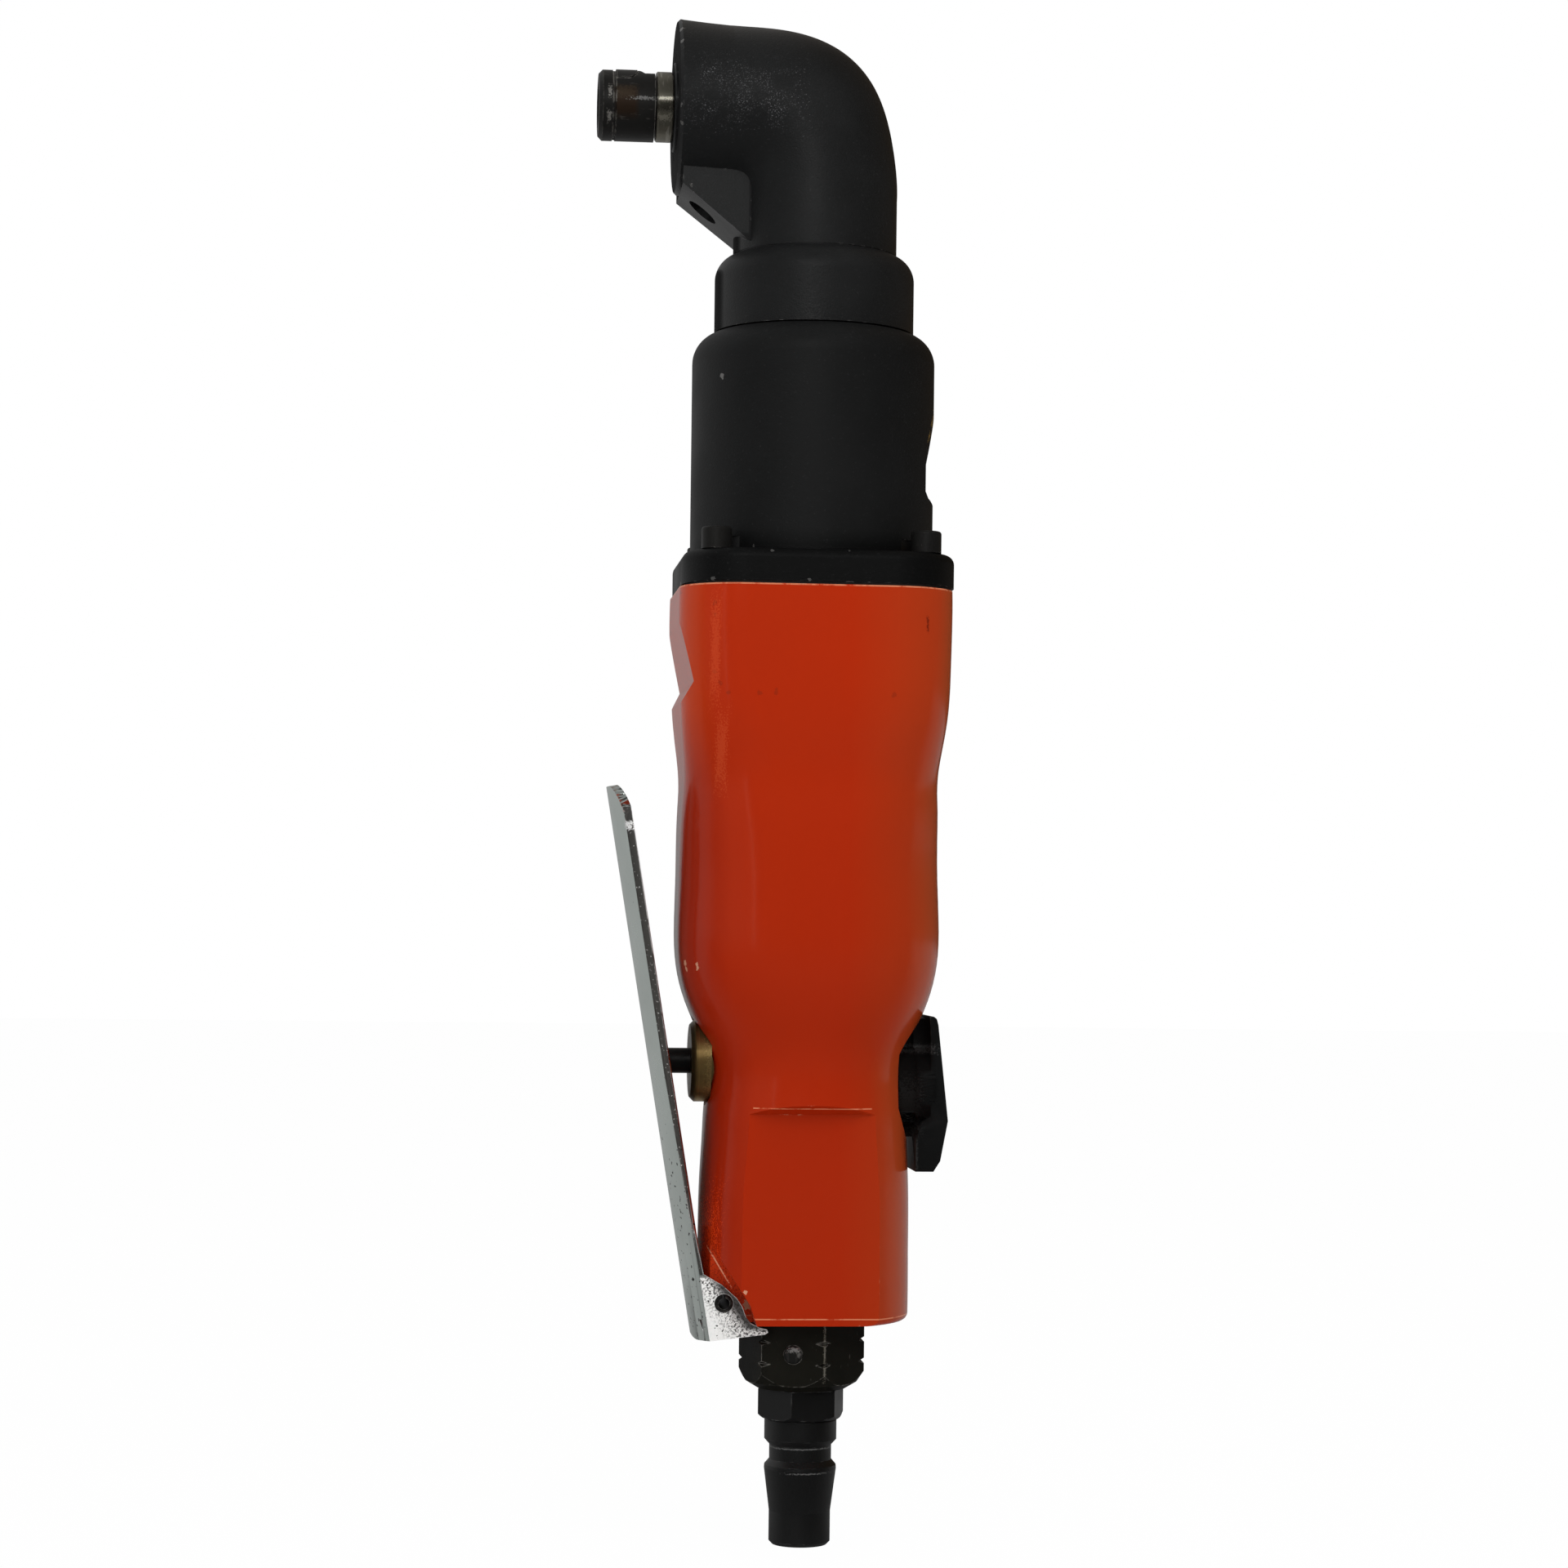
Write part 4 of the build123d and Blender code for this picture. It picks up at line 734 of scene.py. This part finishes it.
# by the material slot of the record
finishes = {
    "orange_paint": makeOrangePaint(orangePaint),
    "black_cast": makeBlackCast(blackCast),
    "black_steel": makeMetal(blackOxide),
    "bright_lever": makeLeverPlate(leverPlate),
    "bare_steel": makeMetal(bareSteel),
    "brass": makeBrassTurned(brassTurned),
    "bronze": makeMetal(bronze),
    "black_plastic": makeMoulded(knobPlastic),
    "grey_iron": makeMetal(greyIron),
    "vane_composite": makeMoulded(vaneResin),
    "gasket_paper": makeMoulded(gasketPaper),
    "black_rubber": makeMoulded(sealRubber),
}
# pieces with a finish of their own
noseFinish = makeMetal(spindleOxide)
ownFinish = {
    "hammer_case": makeBlackCast(hammerBlack),
    "output_spindle": noseFinish,
    "bit_detent_key": noseFinish,
    "bit_retaining_ring": noseFinish,
    "spindle_journal_ring": makeMetal(ringSteel),
    "inlet_bush": makeMetal(hexOxide),
    "inlet_lock_pin": makeMetal(pinSteel),
    "air_plug": makeMetal(plugOxide),
}
for piece in frame["record"]["subparts"]:
    finish = ownFinish.get(piece["node"], finishes[piece["material_slot"]])
    for slot in nodes[piece["node"]].material_slots:
        slot.material = finish
print("finishes assigned")

# how a copy of a CAD node is merged and shaded
copyLook = {"merge": 0.000003, "smooth": 28.0}


def pickOnly(piece):
    bpy.ops.object.select_all(action="DESELECT")
    piece.select_set(True)
    bpy.context.view_layer.objects.active = piece


def startCopy(spec):
    piece = bpy.data.objects.new(spec["name"], nodes[spec["node"]].data.copy())
    scene.collection.objects.link(piece)
    pickOnly(piece)
    bpy.ops.object.mode_set(mode="EDIT")
    bpy.ops.mesh.select_all(action="SELECT")
    bpy.ops.mesh.remove_doubles(threshold=copyLook["merge"])
    bpy.ops.object.mode_set(mode="OBJECT")
    return piece


def finishCopy(piece, spec):
    pickOnly(piece)
    bpy.ops.object.shade_smooth_by_angle(angle=radians(copyLook["smooth"]))
    piece.data.materials.clear()
    piece.data.materials.append(finishes[spec["slot"]])
    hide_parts(spec["node"])
    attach(piece, spec["body"])


# the tool is used up
def cutWith(piece, tool, kind):
    pickOnly(piece)
    cut = piece.modifiers.new("cut", "BOOLEAN")
    cut.operation = kind
    cut.solver = "EXACT"
    cut.object = tool
    bpy.ops.object.modifier_apply(modifier=cut.name)
    bpy.data.objects.remove(tool, do_unlink=True)


def addBlock(centre, size, turn=(0.0, 0.0, 0.0)):
    bpy.ops.object.select_all(action="DESELECT")
    bpy.ops.mesh.primitive_cube_add(size=1.0, location=centre, rotation=turn)
    block = bpy.context.object
    block.scale = size
    bpy.ops.object.transform_apply(location=False, rotation=False, scale=True)
    return block


# the lever's lower end is rolled tighter than its blade and squarer at the toe, as the press leaves it
pressedLever = {
    "name": "pressedLever", "node": "throttle_lever", "body": "lever", "slot": "bright_lever",
    "foot": (-0.0229, 0.0, -0.0584), "lean": 9.42,
    "toeFrom": 0.00002, "toeDeep": 0.0016, "toeHalf": 0.00998, "toeLow": -0.0188, "toeHigh": -0.0152,
    "toeRound": 0.0009, "toeSegments": 6,
    # a thicker web keeps the roll from breaking through the fold
    "webFrom": 0.0008, "webTo": 0.0024, "webHalf": 0.0090, "webLow": -0.0150, "webHigh": 0.0010,
    # the roll is full up to its shoulder, and runs out of the blade above that
    "rollRadius": 0.0200, "rollSides": 360, "rollLow": -0.026, "rollShoulder": 0.002, "rollHigh": 0.030,
    "runOut": 0.0009, "overrun": 0.004, "endFacing": 0.9,
    "blockOut": 0.010, "blockIn": 0.0044, "blockHalf": 0.0124,
}


# a point of the blade's own plane, inward from its face and up along it
def leverPoint(spec, inward, up):
    lean = radians(spec["lean"])
    across = Vector((cos(lean), 0.0, sin(lean)))
    along = Vector((-sin(lean), 0.0, cos(lean)))
    return Vector(spec["foot"]) + across * inward + along * up


def leverTurn(spec):
    return (0.0, -radians(spec["lean"]), 0.0)


def leverBlock(spec, inwardFrom, inwardTo, half, low, high):
    centre = leverPoint(spec, (inwardFrom + inwardTo) / 2, (low + high) / 2)
    return addBlock(centre, (inwardTo - inwardFrom, 2 * half, high - low), leverTurn(spec))


def makeToe(spec):
    toe = leverBlock(spec, spec["toeFrom"], spec["toeDeep"], spec["toeHalf"], spec["toeLow"], spec["toeHigh"])
    bpy.ops.object.mode_set(mode="EDIT")
    bpy.ops.mesh.select_all(action="DESELECT")
    bpy.ops.object.mode_set(mode="OBJECT")
    for edge in toe.data.edges:
        ends = [toe.data.vertices[i].co for i in edge.vertices]
        edge.select = all(end.x < 0 and end.z < 0 for end in ends)
    bpy.ops.object.mode_set(mode="EDIT")
    bpy.ops.mesh.select_mode(type="EDGE")
    bpy.ops.mesh.bevel(offset=spec["toeRound"], segments=spec["toeSegments"])
    bpy.ops.object.mode_set(mode="OBJECT")
    return toe


# a bar that is bent outward at the shoulder
def makeRoller(spec):
    lower, shoulder = spec["rollLow"] - spec["overrun"], spec["rollShoulder"]
    bpy.ops.object.select_all(action="DESELECT")
    bpy.ops.mesh.primitive_cylinder_add(
        vertices=spec["rollSides"], radius=spec["rollRadius"], depth=shoulder - lower,
        location=leverPoint(spec, spec["rollRadius"], (lower + shoulder) / 2), rotation=leverTurn(spec))
    roller = bpy.context.object
    bpy.ops.object.mode_set(mode="EDIT")
    bpy.ops.mesh.select_mode(type="FACE")
    bpy.ops.mesh.select_all(action="DESELECT")
    bpy.ops.object.mode_set(mode="OBJECT")
    for face in roller.data.polygons:
        face.select = face.normal.z > spec["endFacing"]
    bpy.ops.object.mode_set(mode="EDIT")
    top = leverPoint(spec, -spec["runOut"], spec["rollHigh"] + spec["overrun"])
    bend = top - leverPoint(spec, 0.0, shoulder)
    bpy.ops.mesh.extrude_region_move(TRANSFORM_OT_translate={"value": bend})
    bpy.ops.object.mode_set(mode="OBJECT")
    return roller


def makePressedLever(spec):
    lever = startCopy(spec)
    cutWith(lever, makeToe(spec), "UNION")
    web = leverBlock(spec, spec["webFrom"], spec["webTo"], spec["webHalf"], spec["webLow"], spec["webHigh"])
    cutWith(lever, web, "UNION")
    # what lies outside the roller is cut away
    block = leverBlock(spec, -spec["blockOut"], spec["blockIn"], spec["blockHalf"], spec["rollLow"],
                       spec["rollHigh"])
    cutWith(block, makeRoller(spec), "DIFFERENCE")
    cutWith(lever, block, "DIFFERENCE")
    finishCopy(lever, spec)


makePressedLever(pressedLever)
print("lever pressed")

# two webs join the finger bar to the hub, so no light passes between
webbedKnob = {
    "name": "webbedKnob", "node": "reverse_knob", "body": "reverse", "slot": "black_plastic",
    # each web: centre and size
    "webs": [((0.01845, 0.0, -0.02355), (0.0021, 0.0062, 0.0029)),
             ((0.01845, 0.0, -0.03985), (0.0021, 0.0046, 0.0021))],
}


def makeWebbedKnob(spec):
    knob = startCopy(spec)
    for centre, size in spec["webs"]:
        cutWith(knob, addBlock(centre, size), "UNION")
    finishCopy(knob, spec)


makeWebbedKnob(webbedKnob)
print("knob webbed")

# the throttle's spring, copied, smooth-shaded and set on the tool body
springCoil = {
    "name": "springCoil", "node": "throttle_spring", "body": "tool_body", "slot": "bare_steel",
    "joint": "throttle_slide", "travel": 0.0034,
}


def makeSpringCoil(spec):
    coil = startCopy(spec)
    finishCopy(coil, spec)
    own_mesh(coil)


makeSpringCoil(springCoil)
print("spring set")

studioFloor = {
    "name": "studioFloor", "z": -0.1142, "size": 6.0,
    "paper": (0.82, 0.82, 0.82), "roughness": 0.9, "lift": 0.985,
    # seen in the gloss of the tool, the floor in front is as dim as the room
    "dimFrom": -0.05, "dimTo": 0.10,
}
# levels of light seen in the gloss, and the level that falls on the tool
room = {
    "diffuse": 0.38, "front": 0.02, "left": 0.48, "back": 0.36, "right": 0.06, "warm": (1.0, 0.66, 0.34),
    "leftTurn": (-0.1, -0.9), "rightTurn": (0.0, 0.35), "backTurn": (-0.15, 0.08), "warmTurn": (0.0, 0.5),
}
lampAim = (0.0, 0.0, 0.02)
lamps = [
    {"name": "keyLamp", "at": (0.22, -0.45, 0.42), "size": 0.4, "tall": 0.4, "watts": 1.8, "shine": False},
    {"name": "fillLamp", "at": (-1.00, -0.50, 0.12), "size": 0.9, "tall": 0.9, "watts": 4.2, "shine": False},
    {"name": "frontLamp", "at": (-0.20, -1.15, 0.52), "size": 0.2, "tall": 0.2, "watts": 1.4, "shine": True},
    {"name": "stripLamp", "at": (-0.62, -0.80, 0.10), "size": 0.05, "tall": 0.9, "watts": 0.15, "shine": True},
    {"name": "topLamp", "at": (0.00, -0.15, 1.15), "size": 0.6, "tall": 0.6, "watts": 3.0, "shine": False},
]


def mixShader(tree, mask, first, second):
    node = addNode(tree, "ShaderNodeMixShader")
    for socket, value in zip(node.inputs, (mask, first, second)):
        tree.links.new(value, socket)
    return node.outputs[0]


def makeFloor(spec):
    bpy.ops.object.select_all(action="DESELECT")
    bpy.ops.mesh.primitive_plane_add(size=spec["size"], location=(0.0, 0.0, spec["z"]))
    floor = bpy.context.object
    floor.name = spec["name"]
    material = bpy.data.materials.new("palePaper")
    material.use_nodes = True
    tree = material.node_tree
    shader = setIn(tree.nodes["Principled BSDF"], Base_Color=(*spec["paper"], 1.0), Roughness=spec["roughness"],
                   Specular_IOR_Level=0.0)
    glow = setIn(addNode(tree, "ShaderNodeEmission"), Color=(1.0, 1.0, 1.0, 1.0), Strength=1.0)
    path = addNode(tree, "ShaderNodeLightPath").outputs
    lift = times(tree, path["Is Camera Ray"], spec["lift"])
    seen = mixShader(tree, lift, shader.outputs[0], glow.outputs[0])
    spot = splitAxes(tree, addNode(tree, "ShaderNodeTexCoord").outputs["Object"])
    dim = addNode(tree, "ShaderNodeEmission")
    level = rangeNode(tree, spot["Y"], spec["dimFrom"], spec["dimTo"], room["front"], room["back"])
    tree.links.new(level, dim.inputs["Strength"])
    last = mixShader(tree, path["Is Glossy Ray"], seen, dim.outputs[0])
    tree.links.new(last, tree.nodes["Material Output"].inputs["Surface"])
    floor.data.materials.append(material)


# white paper stands behind and to the left, the room in front is dim
def makeRoom(spec):
    world = bpy.data.worlds.new("paleStudio")
    scene.world = world
    world.use_nodes = True
    tree = world.node_tree
    sky = tree.nodes["Background"]
    compass = splitAxes(tree, addNode(tree, "ShaderNodeTexCoord").outputs["Generated"])
    leftward = rangeNode(tree, compass["X"], *spec["leftTurn"], spec["back"], spec["left"])
    sideways = rangeNode(tree, compass["X"], *spec["rightTurn"], 0.0, spec["back"] - spec["right"])
    paper = mathNode(tree, "SUBTRACT", leftward, sideways)
    behind = rangeNode(tree, compass["Y"], *spec["backTurn"])
    mirrored = rangeNode(tree, behind, 0.0, 1.0, spec["front"], paper)
    path = addNode(tree, "ShaderNodeLightPath").outputs
    bounced = mathNode(tree, "MAXIMUM", path["Is Glossy Ray"], path["Is Transmission Ray"])
    warmth = times(tree, rangeNode(tree, compass["X"], *spec["warmTurn"]), bounced)
    tree.links.new(mixColour(tree, warmth, (1.0, 1.0, 1.0), spec["warm"]), sky.inputs["Color"])
    level = rangeNode(tree, bounced, 0.0, 1.0, spec["diffuse"], mirrored)
    white = rangeNode(tree, path["Is Camera Ray"], 0.0, 1.0, level, 1.0)
    tree.links.new(white, sky.inputs["Strength"])


def makeLamp(spec):
    bpy.ops.object.light_add(type="AREA", location=spec["at"])
    light = bpy.context.object
    light.name = spec["name"]
    light.data.shape = "RECTANGLE"
    light.data.size = spec["size"]
    light.data.size_y = spec["tall"]
    light.data.energy = spec["watts"]
    light.visible_glossy = spec["shine"]
    light.rotation_euler = (Vector(lampAim) - light.location).to_track_quat("-Z", "Y").to_euler()


makeFloor(studioFloor)
makeRoom(room)
for lamp in lamps:
    makeLamp(lamp)

# the photograph's viewpoint, in metres, degrees and millimetres of lens
photoCamera = {
    "name": "photoCamera", "distance": 0.642, "azimuth": -5.8, "level": -0.00146, "roll": 0.7,
    "lens": 82.45, "sensor": 36.0, "shiftX": -0.0144, "shiftY": 0.0833, "nearest": 0.01,
}


def makeCamera(spec):
    turn = radians(spec["azimuth"])
    place = (sin(turn) * spec["distance"], -cos(turn) * spec["distance"], spec["level"])
    bpy.ops.object.camera_add(location=place)
    camera = bpy.context.object
    camera.name = spec["name"]
    aim = Euler((radians(90.0), 0.0, turn), "XYZ").to_quaternion()
    roll = Quaternion((0.0, 0.0, 1.0), radians(spec["roll"]))
    camera.rotation_euler = (aim @ roll).to_euler()
    camera.data.lens = spec["lens"]
    camera.data.sensor_width = spec["sensor"]
    camera.data.shift_x = spec["shiftX"]
    camera.data.shift_y = spec["shiftY"]
    camera.data.clip_start = spec["nearest"]
    camera.data.dof.use_dof = False
    scene.camera = camera


makeCamera(photoCamera)
scene.view_settings.view_transform = "Standard"
print("studio and camera set")
